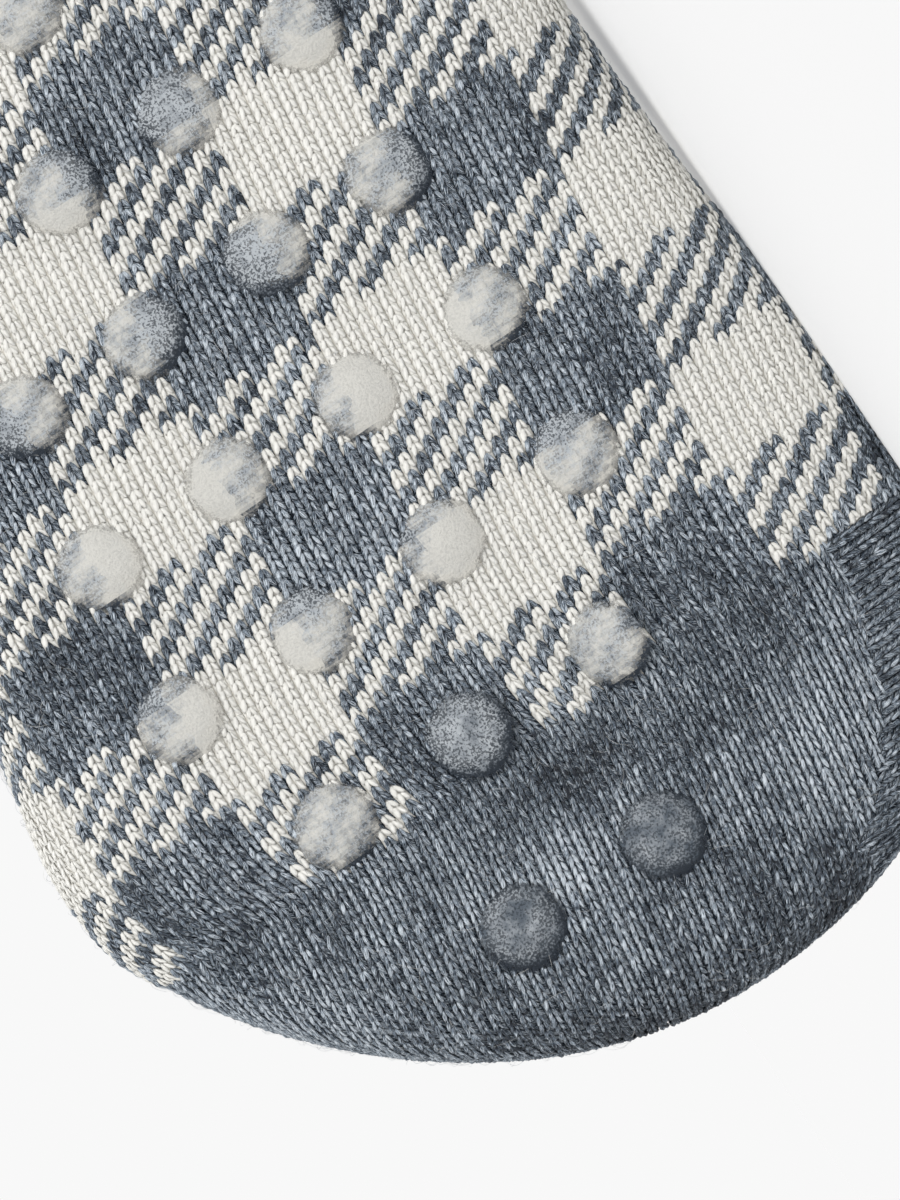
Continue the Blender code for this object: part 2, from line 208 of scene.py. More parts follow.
TOE_TIP_HEIGHT = 0.422
TOE_UPPER_SIDE = {"start": 1.281, "width": 0.582, "power": 1.4}
TOE_LOWER_SIDE = {"start": 0.853, "width": 0.422, "power": 2.0}
TOE_TOP_SLOPE = 0.45
TOE_NOSE_RISE = 0.08
OUTLINE_COUNT = 400


def section_table():
    """All sections in millimetres: back x, back y, front x, front y, low, high, side, powers."""
    rows = []
    for _, sole_x, instep_x, instep_y, low, high, side, back_power, front_power in FOOT_SECTIONS:
        rows.append((sole_x * BODY_LENGTH, 0.0, instep_x * BODY_LENGTH, instep_y * INSTEP_HEIGHT,
                     low * BALL_WIDTH, high * BALL_WIDTH, side, back_power, front_power))
    instep_end = np.array(rows[-1][2:4])
    bend = np.array((LEG_SETBACK + LEG_DEPTH, LEG_FRONT_START * ANKLE_HEIGHT)) - instep_end
    for _, back_x, back_y, front_x, front_y, low, high, side, back_power, front_power in HEEL_SECTIONS:
        front = instep_end + bend * (front_x, front_y)
        rows.append((back_x * BODY_LENGTH, back_y * ANKLE_HEIGHT, front[0], front[1],
                     low * BALL_WIDTH, high * HEEL_WIDTH, side, back_power, front_power))
    leg_rise = LEG_HEIGHT - ANKLE_HEIGHT
    for _, back_x, front_x, back_up, front_up, low, high, side, back_power, front_power in LEG_SECTIONS:
        rows.append((LEG_SETBACK + back_x * LEG_DEPTH, ANKLE_HEIGHT + back_up * leg_rise,
                     LEG_SETBACK + front_x * LEG_DEPTH, ANKLE_HEIGHT + front_up * leg_rise,
                     low * BALL_WIDTH, high * LEG_THICKNESS, side, back_power, front_power))
    return np.array(rows)


def smooth_rows(table, places):
    """The table read at any place between its rows, on cubics whose slopes blend the neighbours'."""
    steps = np.diff(table, axis=0)
    slopes = np.empty_like(table)
    slopes[1:-1] = 0.5 * (steps[:-1] + steps[1:])
    slopes[0] = steps[0]
    slopes[-1] = steps[-1]
    row = np.clip(places.astype(int), 0, len(table) - 2)
    t = (places - row)[..., None]
    start = (2 * t**3 - 3 * t**2 + 1) * table[row] + (t**3 - 2 * t**2 + t) * slopes[row]
    end = (3 * t**2 - 2 * t**3) * table[row + 1] + (t**3 - t**2) * slopes[row + 1]
    return start + end


def tube_points(places, turns, inset):
    """Points of the tube: at each place two superellipse halves, read by direction.

    The direction (cos, sin) is divided by its p-norm, so turns -90, 0, 90 and 180 degrees are
    the sole's middle, the upper side, the instep and the floor's side.
    """
    rows = smooth_rows(SECTION_TABLE, places)
    back = rows[..., 0:2]
    low, high, side = rows[..., 4], rows[..., 5], rows[..., 6]
    forward = rows[..., 2:4] - back
    height = np.linalg.norm(forward, axis=-1)
    forward = forward / height[..., None]
    cosine = np.cos(np.radians(turns))
    sine = np.sin(np.radians(turns))
    power = np.where(sine < 0.0, rows[..., 7], rows[..., 8])
    reach = (np.abs(cosine) ** power + np.abs(sine) ** power) ** (-1.0 / power)
    middle = 0.5 * (low + high)
    width = np.where(cosine < 0.0, middle - low + SETTLE, high - middle) - inset
    depth = np.where(sine < 0.0, side * height, (1.0 - side) * height) - inset
    from_back = side * height + reach * sine * depth
    flat = back + from_back[..., None] * forward
    level = np.maximum(middle + reach * cosine * width, np.maximum(inset, 0.0))
    return np.concatenate((flat, level[..., None]), axis=-1)


def between(table, rows, columns):
    """The table read between its rows and columns, linearly in both."""
    rows = np.clip(rows, 0.0, table.shape[0] - 1.001)
    columns = np.clip(columns, 0.0, table.shape[1] - 1.001)
    i, j = rows.astype(int), columns.astype(int)
    u, v = rows - i, columns - j
    near = table[i, j] * (1.0 - v) + table[i, j + 1] * v
    far = table[i + 1, j] * (1.0 - v) + table[i + 1, j + 1] * v
    return near * (1.0 - u) + far * u


def even_table(values, lengths, count):
    """Each row's values read at count even shares of that row's running length."""
    share = lengths / lengths[:, -1:]
    shift = 2.0 * np.arange(len(lengths))[:, None]
    wanted = np.linspace(0.0, 1.0, count)[None, :] + shift
    flat = np.interp(wanted.ravel(), (share + shift).ravel(), np.broadcast_to(values, share.shape).ravel())
    return flat.reshape(wanted.shape)


def running_length(points):
    """The length along each row of points, from its first point."""
    steps = np.linalg.norm(np.diff(points, axis=1), axis=-1)
    return np.concatenate((np.zeros((len(points), 1)), np.cumsum(steps, axis=1)), axis=1)


SECTION_TABLE = section_table()
PLACE_COUNT = 401
TURN_COUNT = 721
SHARE_COUNT = 321
place_grid = np.linspace(0.0, COLLAR_PLACE, PLACE_COUNT)
turn_grid = np.linspace(-90.0, 270.0, TURN_COUNT)
ring_lengths = running_length(tube_points(place_grid[:, None], turn_grid[None, :], 0.0))
turn_table = even_table(turn_grid[None, :], ring_lengths, SHARE_COUNT)

# The toe, half sections fanned about the middle of the toe's start
toe_low, toe_high, toe_side, toe_sole_power, toe_top_power = SECTION_TABLE[0, 4:9]
toe_height = SECTION_TABLE[0, 3]
toe_middle = 0.5 * (toe_low + toe_high)


def toe_outline():
    """The toe's outline seen from the sole: directions from the toe's start, and how far it reaches."""
    spread = np.linspace(0.0, 1.0, OUTLINE_COUNT) ** 0.5
    tip = TOE_TIP_HEIGHT * BALL_WIDTH
    half = []
    for side, sign in ((TOE_LOWER_SIDE, -1.0), (TOE_UPPER_SIDE, 1.0)):
        x = FOOT_LENGTH - side["start"] * TOE_LENGTH * (1.0 - spread)
        width = side["width"] * BALL_WIDTH + (SETTLE if sign < 0.0 else 0.0)
        half.append((x, tip + sign * width * np.sqrt(1.0 - spread ** side["power"])))
    x = np.concatenate(([BODY_LENGTH], half[0][0], half[1][0][::-1]))
    z = np.concatenate(([half[0][1][0]], half[0][1], half[1][1][::-1]))
    ahead = x >= BODY_LENGTH
    x, z = x[ahead] - BODY_LENGTH, z[ahead] - toe_middle
    directions = np.degrees(np.arctan2(z, x))
    order = np.argsort(directions)
    return directions[order], np.hypot(x, z)[order]


outline_directions, outline_reach = toe_outline()


def toe_points(turns, lifts, inset):
    """Points of the toe: half sections fanned about its start, each read by its lift.

    turns go from -90 at the floor's side to 90; lifts from -90 at the sole to 90 at the top.
    """
    reach = np.interp(turns, outline_directions, outline_reach) - inset
    ahead = np.cos(np.radians(turns))
    side_height = (toe_side + TOE_NOSE_RISE * ahead) * toe_height
    cosine = np.maximum(np.cos(np.radians(lifts)), 0.0)
    sine = np.sin(np.radians(lifts))
    power = np.where(sine > 0.0, toe_top_power, toe_sole_power)
    size = (cosine ** power + np.abs(sine) ** power) ** (-1.0 / power)
    across = size * cosine
    depth = np.where(sine > 0.0, toe_height - side_height, side_height) - inset
    slope = np.where(sine > 0.0, 1.0 - TOE_TOP_SLOPE * ahead * across, 1.0)
    x = BODY_LENGTH + across * reach * ahead
    y = side_height + size * sine * depth * slope
    z = np.maximum(toe_middle + across * reach * np.sin(np.radians(turns)), np.maximum(inset, 0.0))
    return np.stack(np.broadcast_arrays(x, y, z), axis=-1)


TOE_TURN_COUNT = 181
TOE_LIFT_COUNT = 361
toe_turn_grid = np.linspace(-90.0, 90.0, TOE_TURN_COUNT)
toe_lift_grid = np.linspace(-90.0, 90.0, TOE_LIFT_COUNT)
toe_lengths = running_length(toe_points(toe_turn_grid[:, None], toe_lift_grid[None, :], 0.0))
toe_lift_table = even_table(toe_lift_grid[None, :], toe_lengths, SHARE_COUNT)
toe_girths = toe_lengths[:, -1]
toe_side_lengths = toe_lengths[:, TOE_LIFT_COUNT // 2]

# How the knitting lies on the form: wales run along the sock and courses round it. At the toe both
# are laid as a flat sheet about the sole's middle, whose edge is the gore beside the toe.
WALES = 160
COURSE = 0.951
START_GIRTH = ring_lengths[0, -1]
START_WALE_WIDTH = START_GIRTH / WALES
START_MIDDLE_WALE = 0.86
WALE_DRIFT = 0.0425
DRIFT_END = 80.0
TOE_LEAN_DEG = -10.0
LEAN_SETTLES = 6.0
GORE_OVER = 3.0
GORE_REACH = 33.5
GORE_END_TURN = -26.0
GORE_FADE_TURN = 12.0
GUSSET_WALE_WIDTH = 1.45
GUSSET_WALES = 30
RELIEF_REACH = 5.0
RIPPLE = {"x": 205.0, "z": 30.0, "reach": (8.5, 20.0), "slant": 0.16,
          "depth": 0.50, "pitch": 8.5, "fine pitch": 5.1}
SWELL_DEPTH = 0.24
TROUGH = {"x": 213.0, "z": 34.0, "reach": (6.0, 24.0), "slant": 0.12, "turns at": 40.0, "depth": 1.3}

edge_lines = smooth_rows(SECTION_TABLE, place_grid)[:, 0:4]
back_steps = np.linalg.norm(np.diff(edge_lines[:, 0:2], axis=0), axis=1)
front_steps = np.linalg.norm(np.diff(edge_lines[:, 2:4], axis=0), axis=1)
back_courses = np.concatenate(([0.0], np.cumsum(back_steps))) / COURSE
front_courses = np.concatenate(([0.0], np.cumsum(front_steps))) / COURSE
course_grid = 0.5 * (back_courses + front_courses)
middle_wale_grid = START_MIDDLE_WALE + WALE_DRIFT * (BODY_LENGTH - np.maximum(edge_lines[:, 0], DRIFT_END))
middle_wale_grid = np.maximum.accumulate(middle_wale_grid)


def tube_surface(courses, wales, inset):
    """The tube at any course and wale, each wale being an even share of the girth."""
    places = np.interp(courses, course_grid, place_grid)
    middle = np.interp(places, place_grid, middle_wale_grid)
    share = np.mod((wales - middle) / WALES, 1.0)
    turns = between(turn_table, places / COLLAR_PLACE * (PLACE_COUNT - 1), share * (SHARE_COUNT - 1))
    return tube_points(places, turns, inset)


def gore_length(turns):
    """How far from the sole's middle the toe's sole half ends, in each direction.

    On the floor's side it ends on the sole's face, at the gore, and elsewhere just past the side.
    """
    side = np.interp(turns, toe_turn_grid, toe_side_lengths) + GORE_OVER
    fade = np.clip((GORE_END_TURN - turns) / GORE_FADE_TURN, 0.0, 1.0)
    fade = fade * fade * (3.0 - 2.0 * fade)
    return side + (GORE_REACH - side) * fade


def toe_surface(courses, wales, inset, half, limit):
    """The toe at any course below 0 and any wale: a flat sheet wrapped about its middle.

    A stitch's distance and direction from the middle of the sheet become the length and the
    direction along the toe's half sections. The top half starts at the middle of the toe's top.
    In the gusset the wales run square to those of the sole, down over its edge to the side.
    """
    ahead = np.maximum(-courses * COURSE, 0.0)
    lean = math.tan(math.radians(TOE_LEAN_DEG))
    out = (wales - START_MIDDLE_WALE) * START_WALE_WIDTH
    if half == "gusset":
        out = -ahead
        ahead = wales * GUSSET_WALE_WIDTH
    elif half == "top":
        out = toe_girths[-1] - out
    else:
        out = out - lean * ahead * ahead / (ahead + LEAN_SETTLES)
    length = np.hypot(ahead, out)
    turns = np.degrees(np.arctan2(out, ahead))
    girth = np.interp(turns, toe_turn_grid, toe_girths)
    side = np.interp(turns, toe_turn_grid, toe_side_lengths) + GORE_OVER
    gore = gore_length(turns)
    if half == "top":
        beyond = length > girth - side
        length = girth - (np.minimum(length, girth - side) if limit else length)
    elif half == "gusset":
        beyond = (length < gore) | (length > side)
        length = np.clip(length, gore, side) if limit else length
    else:
        beyond = length > gore
        length = np.minimum(length, gore) if limit else length
    share = np.clip(length / girth, 0.0, 1.0)
    lifts = between(toe_lift_table, turns + 90.0, share * (SHARE_COUNT - 1))
    return toe_points(turns, lifts, inset), beyond


def hump(x, z, x_reach, z_reach):
    """A soft round hump, 1 at the origin: e to the power of minus both squared shares of its reach."""
    return np.exp(-(x / x_reach) ** 2 - (z / z_reach) ** 2)


def add_relief(points):
    """The soft relief of an empty sock, pushed into the sole and faded out away from it.

    Ripples are two sines under a hump, the swell is products of slanting sines all over the sole,
    and the trough before the toe is one long hump.
    """
    x, y, z = points[..., 0], points[..., 1], points[..., 2]
    facing = np.exp(-(y / RELIEF_REACH) ** 2)
    wave = 2.0 * math.pi * (z + RIPPLE["slant"] * (x - RIPPLE["x"]))
    ripples = hump(x - RIPPLE["x"], z - RIPPLE["z"], *RIPPLE["reach"])
    fine = 0.5 * np.sin(wave / RIPPLE["fine pitch"] + 1.0)
    ripples *= RIPPLE["depth"] * (np.sin(wave / RIPPLE["pitch"]) + fine)
    swell = SWELL_DEPTH * (np.sin(x / 5.3 + z / 11.0 + 0.4) * np.sin(z / 6.1 - x / 17.0 + 1.9)
                           + 0.6 * np.sin(x / 9.7 - z / 4.3 + 2.6))
    bent = x - TROUGH["x"] + TROUGH["slant"] * (z - TROUGH["turns at"])
    trough = TROUGH["depth"] * hump(bent, z - TROUGH["z"], *TROUGH["reach"])
    shifted = points.copy()
    shifted[..., 1] += facing * (ripples + swell + trough)
    return shifted


def sock_surface(courses, wales, inset=0.0, half="sole", limit=True):
    """The sock's surface at any course and wale, and which places lie past the toe's gore."""
    courses, wales = np.broadcast_arrays(np.asarray(courses, float), np.asarray(wales, float))
    points, beyond = toe_surface(courses, wales, inset, half, limit)
    if half != "gusset":
        on_tube = courses >= 0.0
        points = np.where(on_tube[..., None], tube_surface(np.maximum(courses, 0.0), wales, inset), points)
        beyond = beyond & ~on_tube
    return add_relief(points), beyond


def sock_normals(courses, wales, half="sole"):
    """Outward directions: the cross product of the surface's small steps along wales and courses."""
    def at(course_step, wale_step):
        return sock_surface(courses + course_step, wales + wale_step, 0.0, half, False)[0]

    step = 0.4
    across = at(0.0, step) - at(0.0, -step)
    along = at(step, 0.0) - at(-step, 0.0)
    normals = np.cross(across, along)
    return normals / np.maximum(np.linalg.norm(normals, axis=-1, keepdims=True), 1e-9)


def to_frame(points):
    """Millimetres of the form to the frame's metres: x is mirrored, and nothing lies below the floor."""
    placed = np.empty_like(points)
    placed[..., 0] = CAD_HIGH.x - 0.001 * points[..., 0]
    placed[..., 1] = CAD_HIGH.y - 0.001 * (LEG_HEIGHT - points[..., 1])
    placed[..., 2] = np.maximum(0.001 * points[..., 2], 0.0)
    return placed


def add_mesh(name, points, faces, layers, material):
    """A smooth mesh object from arrays of points, faces and UV layers given per point."""
    mesh = bpy.data.meshes.new(name)
    corners = faces.shape[1]
    mesh.vertices.add(len(points))
    mesh.vertices.foreach_set("co", points.astype(np.float32).ravel())
    mesh.loops.add(faces.size)
    mesh.loops.foreach_set("vertex_index", faces.astype(np.int32).ravel())
    mesh.polygons.add(len(faces))
    mesh.polygons.foreach_set("loop_start", (np.arange(len(faces)) * corners).astype(np.int32))
    mesh.update(calc_edges=True)
    for layer_name, values in layers.items():
        layer = mesh.uv_layers.new(name=layer_name)
        layer.data.foreach_set("uv", values[faces.ravel()].astype(np.float32).ravel())
    mesh.validate()
    mesh.shade_smooth()
    mesh.materials.append(material)
    piece = bpy.data.objects.new(name, mesh)
    stage.collection.objects.link(piece)
    return piece


def grid_faces(rows, columns):
    """Quads of a grid of points, turned so that they face outwards in the frame."""
    first = np.arange(rows - 1)[:, None] * columns + np.arange(columns - 1)[None, :]
    return np.stack((first, first + columns, first + columns + 1, first + 1), axis=-1).reshape(-1, 4)


# The yarns: a warm off-white cotton, and a blue-grey marl spun from near-black, slate and pale fibre.
# The sock is knitted in a gingham of checks, 10 wales by 12 courses, where the half-tone checks are
# a two and two twill of both yarns. Heel, toe and cuff are plain marl.
CHECK_WALES = 10.0
CHECK_COURSES = 12.0
TWILL_REPEAT = 4.0
TWILL_CREAM = 1.5
GINGHAM_START = -0.5
CREAM = (0.905, 0.895, 0.850, 1.0)
# The cream's beige is a painted shade that it takes between its fibres, where their bump is low
CREAM_PAINTED_FIBRE_SHADE = (0.660, 0.620, 0.545, 1.0)
MARL_DARK = (0.008, 0.011, 0.018, 1.0)
MARL_SLATE = (0.054, 0.078, 0.112, 1.0)
MARL_MID = (0.245, 0.305, 0.372, 1.0)
MARL_PALE = (0.680, 0.735, 0.790, 1.0)
MARL_STOPS = (0.42, 0.475, 0.522, 0.595)
DARKER_SHIFT = 0.075
YARN_STRETCH = 0.8
FIBRES_AROUND = 9.0
FIBRE_SLANT = 1.8
CREAM_EVENNESS = 0.72


def is_cream(courses, wales):
    """1 where a stitch is cream in the gingham, and 0 where it is marl."""
    column = np.floor(wales / CHECK_WALES) % 2.0
    row = np.floor(courses / CHECK_COURSES) % 2.0
    twill = (np.floor(wales) + np.floor(courses)) % TWILL_REPEAT < TWILL_CREAM
    return (courses > GINGHAM_START) * np.where(column == row, column * row, twill)


class NodeBench:
    """Adds nodes to one node tree, where an input may be a number, a tuple or another socket."""

    def __init__(self, tree):
        self.tree = tree

    def put(self, socket, value):
        """Link a socket to the input, or set the input's own value."""
        if isinstance(value, bpy.types.NodeSocket):
            self.tree.links.new(value, socket)
        else:
            socket.default_value = value

    def add(self, kind, inputs=None, **settings):
        """One node with its settings and inputs."""
        node = self.tree.nodes.new(kind)
        for setting, value in settings.items():
            setattr(node, setting, value)
        for key, value in (inputs or {}).items():
            self.put(node.inputs[key], value)
        return node

    def math(self, operation, *values):
        """A Math node's result."""
        return self.add("ShaderNodeMath", dict(enumerate(values)), operation=operation).outputs[0]

    def mix(self, factor, first, second, blend="MIX"):
        """Two colours mixed."""
        node = self.add("ShaderNodeMix", data_type="RGBA", blend_type=blend)
        self.put(node.inputs[0], factor)
        self.put(node.inputs[6], first)
        self.put(node.inputs[7], second)
        return node.outputs[2]

    def plus(self, *values):
        """All the values added up."""
        total = values[0]
        for value in values[1:]:
            total = self.math("ADD", total, value)
        return total

    def times(self, value, share):
        """One value times another."""
        return self.math("MULTIPLY", value, share)

    def swing(self, value, middle, size):
        """How far a value is from its middle, times a size."""
        return self.times(self.math("SUBTRACT", value, middle), size)

    def parts(self, uv_map):
        """The two numbers of one of the piece's own UV maps."""
        place = self.add("ShaderNodeUVMap", uv_map=uv_map).outputs[0]
        return self.add("ShaderNodeSeparateXYZ", {0: place}).outputs

    def length(self, vector):
        """How long a vector is."""
        return self.add("ShaderNodeVectorMath", {0: vector}, operation="LENGTH").outputs["Value"]

    def bump(self, height, distance):
        """A normal bent by a height."""
        node = self.add("ShaderNodeBump", {"Height": height, "Distance": distance, "Strength": 1.0})
        return node.outputs["Normal"]

    def group(self, tree, **values):
        """A group's results for the named values."""
        return self.add("ShaderNodeGroup", values, node_tree=tree).outputs

    def vector(self, x, y, z=0.0):
        """Three numbers as one vector."""
        return self.add("ShaderNodeCombineXYZ", {0: x, 1: y, 2: z}).outputs[0]

    def noise(self, vector, scale, detail=2.0, roughness=0.5):
        """Soft noise from 0 to 1."""
        node = self.add("ShaderNodeTexNoise", {"Vector": vector, "Scale": scale, "Detail": detail,
                                               "Roughness": roughness})
        return node.outputs["Fac"]

    def ramp(self, value, stops):
        """A colour ramp with the given places and colours."""
        node = self.add("ShaderNodeValToRGB", {"Fac": value})
        ramp, stops = node.color_ramp, tuple(stops)
        while len(ramp.elements) < len(stops):
            ramp.elements.new(0.5)
        for element, (place, color) in zip(ramp.elements, stops):
            element.position = place
            element.color = color
        return node.outputs["Color"]

    def span(self, value, low, high):
        """The value taken from low..high to 0..1, and held there."""
        node = self.add("ShaderNodeMapRange", {"Value": value, "From Min": low, "From Max": high})
        return node.outputs["Result"]


def new_group(name, inputs, outputs):
    """A shader node group with its sockets, its bench and its two end nodes."""
    group = bpy.data.node_groups.new(name, "ShaderNodeTree")
    for socket_name, kind in inputs:
        group.interface.new_socket(socket_name, in_out="INPUT", socket_type="NodeSocket" + kind)
    for socket_name, kind in outputs:
        group.interface.new_socket(socket_name, in_out="OUTPUT", socket_type="NodeSocket" + kind)
    bench = NodeBench(group)
    return group, bench, bench.add("NodeGroupInput").outputs, bench.add("NodeGroupOutput").inputs


def new_material(name):
    """A material, the bench for its nodes and its shader's inputs."""
    material = bpy.data.materials.new(name)
    material.use_nodes = True
    return material, NodeBench(material.node_tree), material.node_tree.nodes["Principled BSDF"].inputs


def gingham_group():
    group, bench, given, result = new_group("gingham chart", [("Wale", "Float"), ("Course", "Float")],
                                            [("Cream", "Float")])
    wale = bench.math("FLOOR", given["Wale"])
    course = bench.math("FLOOR", given["Course"])
    column = bench.math("FLOORED_MODULO", bench.math("FLOOR", bench.math("DIVIDE", wale, CHECK_WALES)), 2.0)
    row = bench.math("FLOORED_MODULO", bench.math("FLOOR", bench.math("DIVIDE", course, CHECK_COURSES)), 2.0)
    both = bench.times(column, row)
    one = bench.math("ABSOLUTE", bench.math("SUBTRACT", column, row))
    step = bench.math("FLOORED_MODULO", bench.plus(wale, course), TWILL_REPEAT)
    twill = bench.math("LESS_THAN", step, TWILL_CREAM)
    cream = bench.plus(both, bench.times(one, twill))
    gingham = bench.math("GREATER_THAN", course, GINGHAM_START)
    bench.put(result["Cream"], bench.times(cream, gingham))
    return group


def yarn_group():
    """A yarn's colour and fibre height, from the length along it, the way round it and a cream mask.

    Fibres are noise drawn out along the yarn and slanted by its twist. In the marl they are sorted
    from near-black to pale. In the cream they only darken it towards beige where they are low, a
    painted shade between the fibres.
    """
    group, bench, given, result = new_group(
        "spun yarn", [(name, "Float") for name in ("Along", "Around", "Strand", "Cream", "Darker")],
        [("Color", "Color"), ("Fibre", "Float")])
    twisted = bench.plus(bench.times(given["Along"], YARN_STRETCH), given["Around"])
    around = bench.math("SUBTRACT", bench.times(given["Around"], FIBRES_AROUND),
                        bench.times(given["Along"], FIBRE_SLANT))
    fibre = bench.noise(bench.vector(twisted, around, given["Strand"]), 1.35, 3.0, 0.68)
    tone = bench.noise(bench.vector(bench.times(given["Along"], 0.5), given["Strand"], 7.0), 1.0, 1.0)
    blend = bench.plus(fibre, bench.swing(tone, 0.5, 0.30))
    # Darker carries random tone, and painted shade and light from the creases and the toe's rim
    blend = bench.math("SUBTRACT", blend, bench.times(given["Darker"], DARKER_SHIFT))
    marl = bench.ramp(blend, zip(MARL_STOPS, (MARL_DARK, MARL_SLATE, MARL_MID, MARL_PALE)))
    # The cream darkens towards beige where its fibres are low: a painted shade between them
    cream = bench.mix(bench.span(fibre, 0.30, 0.62), CREAM_PAINTED_FIBRE_SHADE, CREAM)
    cream = bench.mix(CREAM_EVENNESS, cream, CREAM)
    bench.put(result["Color"], bench.mix(given["Cream"], marl, cream))
    bench.put(result["Fibre"], fibre)
    return group


GINGHAM = gingham_group()
YARN = yarn_group()

# The knitted cloth itself: foot, instep, heel, leg and toe, knitted in the round as one piece.
# The sole and toe carry modelled stitches over this cloth, which lies low behind them, its gaps painted
# near-black as the shade between the stitches.
# Painted shades of the gaps between stitch legs: the colour is multiplied by them where the legs are low
CREAM_PAINTED_GAP_SHADE = (0.92, 0.89, 0.84, 1.0)
KNIT_PAINTED_GAP_SHADE = (0.45, 0.42, 0.40, 1.0)
GROUND_PAINTED_GAP_SHADE = (0.07, 0.07, 0.08, 1.0)
KNIT_RELIEF = 0.0004
GROUND_RELIEF = 0.0002


def knit_material(name, relief_depth, painted_gap_shade):
    """Cloth seen as whole stitches on a grid of wales and courses, with a relief of V's in its bump.

    A leg's height is the root of two parabolas' product, one across its course and one across its
    half of the wale. A painted shade darkens the colour where the legs are low, in the gaps between them.
    """
    material, bench, shader = new_material(name)
    wale, course = bench.parts("stitch")[0:2]
    across = bench.math("SUBTRACT", bench.math("FRACT", wale), 0.5)
    from_middle = bench.math("ABSOLUTE", across)
    leg_course = bench.plus(course, bench.times(from_middle, 2.0))
    chart = bench.group(GINGHAM, Wale=wale, Course=leg_course)["Cream"]
    leg_across = bench.math("SUBTRACT", bench.math("FRACT", leg_course), 0.5)
    row_height = bench.math("SUBTRACT", 1.0, bench.times(bench.times(leg_across, leg_across), 4.0))
    from_leg = bench.math("SUBTRACT", from_middle, 0.25)
    column_height = bench.math("SUBTRACT", 1.0, bench.times(bench.times(from_leg, from_leg), 16.0))
    height = bench.math("SQRT", bench.math("MAXIMUM", bench.times(row_height, column_height), 0.0))
    strand = bench.plus(bench.times(bench.math("FLOOR", bench.times(wale, 2.0)), 3.7),
                        bench.times(bench.math("FLOOR", leg_course), 1.9))
    along = bench.times(from_middle, 3.0)
    yarn = bench.group(YARN, Along=along, Around=leg_across, Strand=strand, Cream=chart)
    gap = bench.mix(chart, painted_gap_shade, CREAM_PAINTED_GAP_SHADE)
    in_gap = bench.mix(1.0, yarn["Color"], gap, "MULTIPLY")
    bench.put(shader["Base Color"], bench.mix(bench.span(height, 0.10, 0.75), in_gap, yarn["Color"]))
    shader["Roughness"].default_value = 0.92
    shader["Specular IOR Level"].default_value = 0.25
    relief = bench.plus(height, bench.times(yarn["Fibre"], 0.25))
    bench.put(shader["Normal"], bench.bump(relief, relief_depth))
    return material


KNIT = knit_material("knitted cloth", KNIT_RELIEF, KNIT_PAINTED_GAP_SHADE)
GROUND = knit_material("cloth behind the stitches", GROUND_RELIEF, GROUND_PAINTED_GAP_SHADE)


def ridge_lift(wales):
    """Height of the cloth over its middle, in millimetres: the root of a sine's size over each wale."""
    return 0.22 * np.sqrt(np.abs(np.sin(math.pi * wales))) - 0.16


def add_cloth(name, courses, wales, material, lift=0.0, chart_courses=None, half="sole", inset=0.0):
    """A patch of the sock as a grid of courses and wales, lifted along its normals.

    Faces that lie wholly past the toe's gore are left out. Courses given in falling order turn
    the patch's faces to the inside.
    """
    course_net, wale_net = np.meshgrid(courses, wales, indexing="ij")
    points, beyond = sock_surface(course_net, wale_net, inset, half)
    if inset == 0.0:
        cream_rises = 1.0 - CREAM_RISE * is_cream(course_net, wale_net) * (half == "sole")
        lifts = ridge_lift(wale_net) + lift * cream_rises
        points = points + sock_normals(course_net, wale_net, half) * lifts[..., None]
    chart = course_net if chart_courses is None else np.broadcast_to(chart_courses[:, None], course_net.shape)
    faces = grid_faces(len(courses), len(wales))
    faces = faces[~beyond.ravel()[faces].all(axis=1)]
    used, faces = np.unique(faces, return_inverse=True)
    layers = {"stitch": np.stack((wale_net, chart), axis=-1).reshape(-1, 2)[used]}
    points = to_frame(points.reshape(-1, 3)[used])
    return finish_piece(add_mesh(name, points, faces.reshape(-1, 4), layers, material))


def finish_piece(piece, node="knitted_sock"):
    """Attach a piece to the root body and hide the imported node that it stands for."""
    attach(piece, "root")
    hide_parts(node)
    return piece


RIDGE_SHARES = np.array((0.0, 0.3, 0.7))
GROUND_LIFT = -0.25
CREAM_RISE = 0.65
HEEL_LOW_WALE = -34
HEEL_HIGH_WALE = 46
LAST_WALE = HEEL_LOW_WALE + WALES
TOE_SOLE_END = -57.0
TOE_SOLE_WALES = (-40, 48)
TOE_TOP_END = -84.0
TOE_TOP_WALES = (24, 144)
GUSSET_COURSES = (-66.0, -12.0)
FOOT_ROW_STEP = 2.0
BEND_ROW_STEP = 1.5
GUSSET_ROW_STEP = 1.2
HEEL_ROWS = 110
HEEL_CHART_START = -180.0
HEEL_CHART_SPAN = 170.0


def check_edge(place):
    """The check's edge nearest to a place between the sections, as a course."""
    return float(round(np.interp(place, place_grid, course_grid) / CHECK_COURSES) * CHECK_COURSES)


heel_start = check_edge(HEEL_START_PLACE + 0.3)
ankle_end = check_edge(ANKLE_PLACE)
middle_heights = 0.5 * (edge_lines[:, 1] + edge_lines[:, 3])
cuff_start = float(np.interp(LEG_HEIGHT - CUFF_DEPTH, middle_heights, course_grid))
collar_end = float(course_grid[-1])


def wale_lines(first, last):
    """Lines across the wales from first to last, three to a wale, at its valley and its two legs."""
    whole = np.arange(first, last)
    return np.append((whole[:, None] + RIDGE_SHARES[None, :]).ravel(), last).astype(float)


def even_lines(first, last, step):
    """Lines from first to last, as near step apart as fits."""
    return np.linspace(first, last, max(2, int(round(abs(last - first) / step)) + 1))


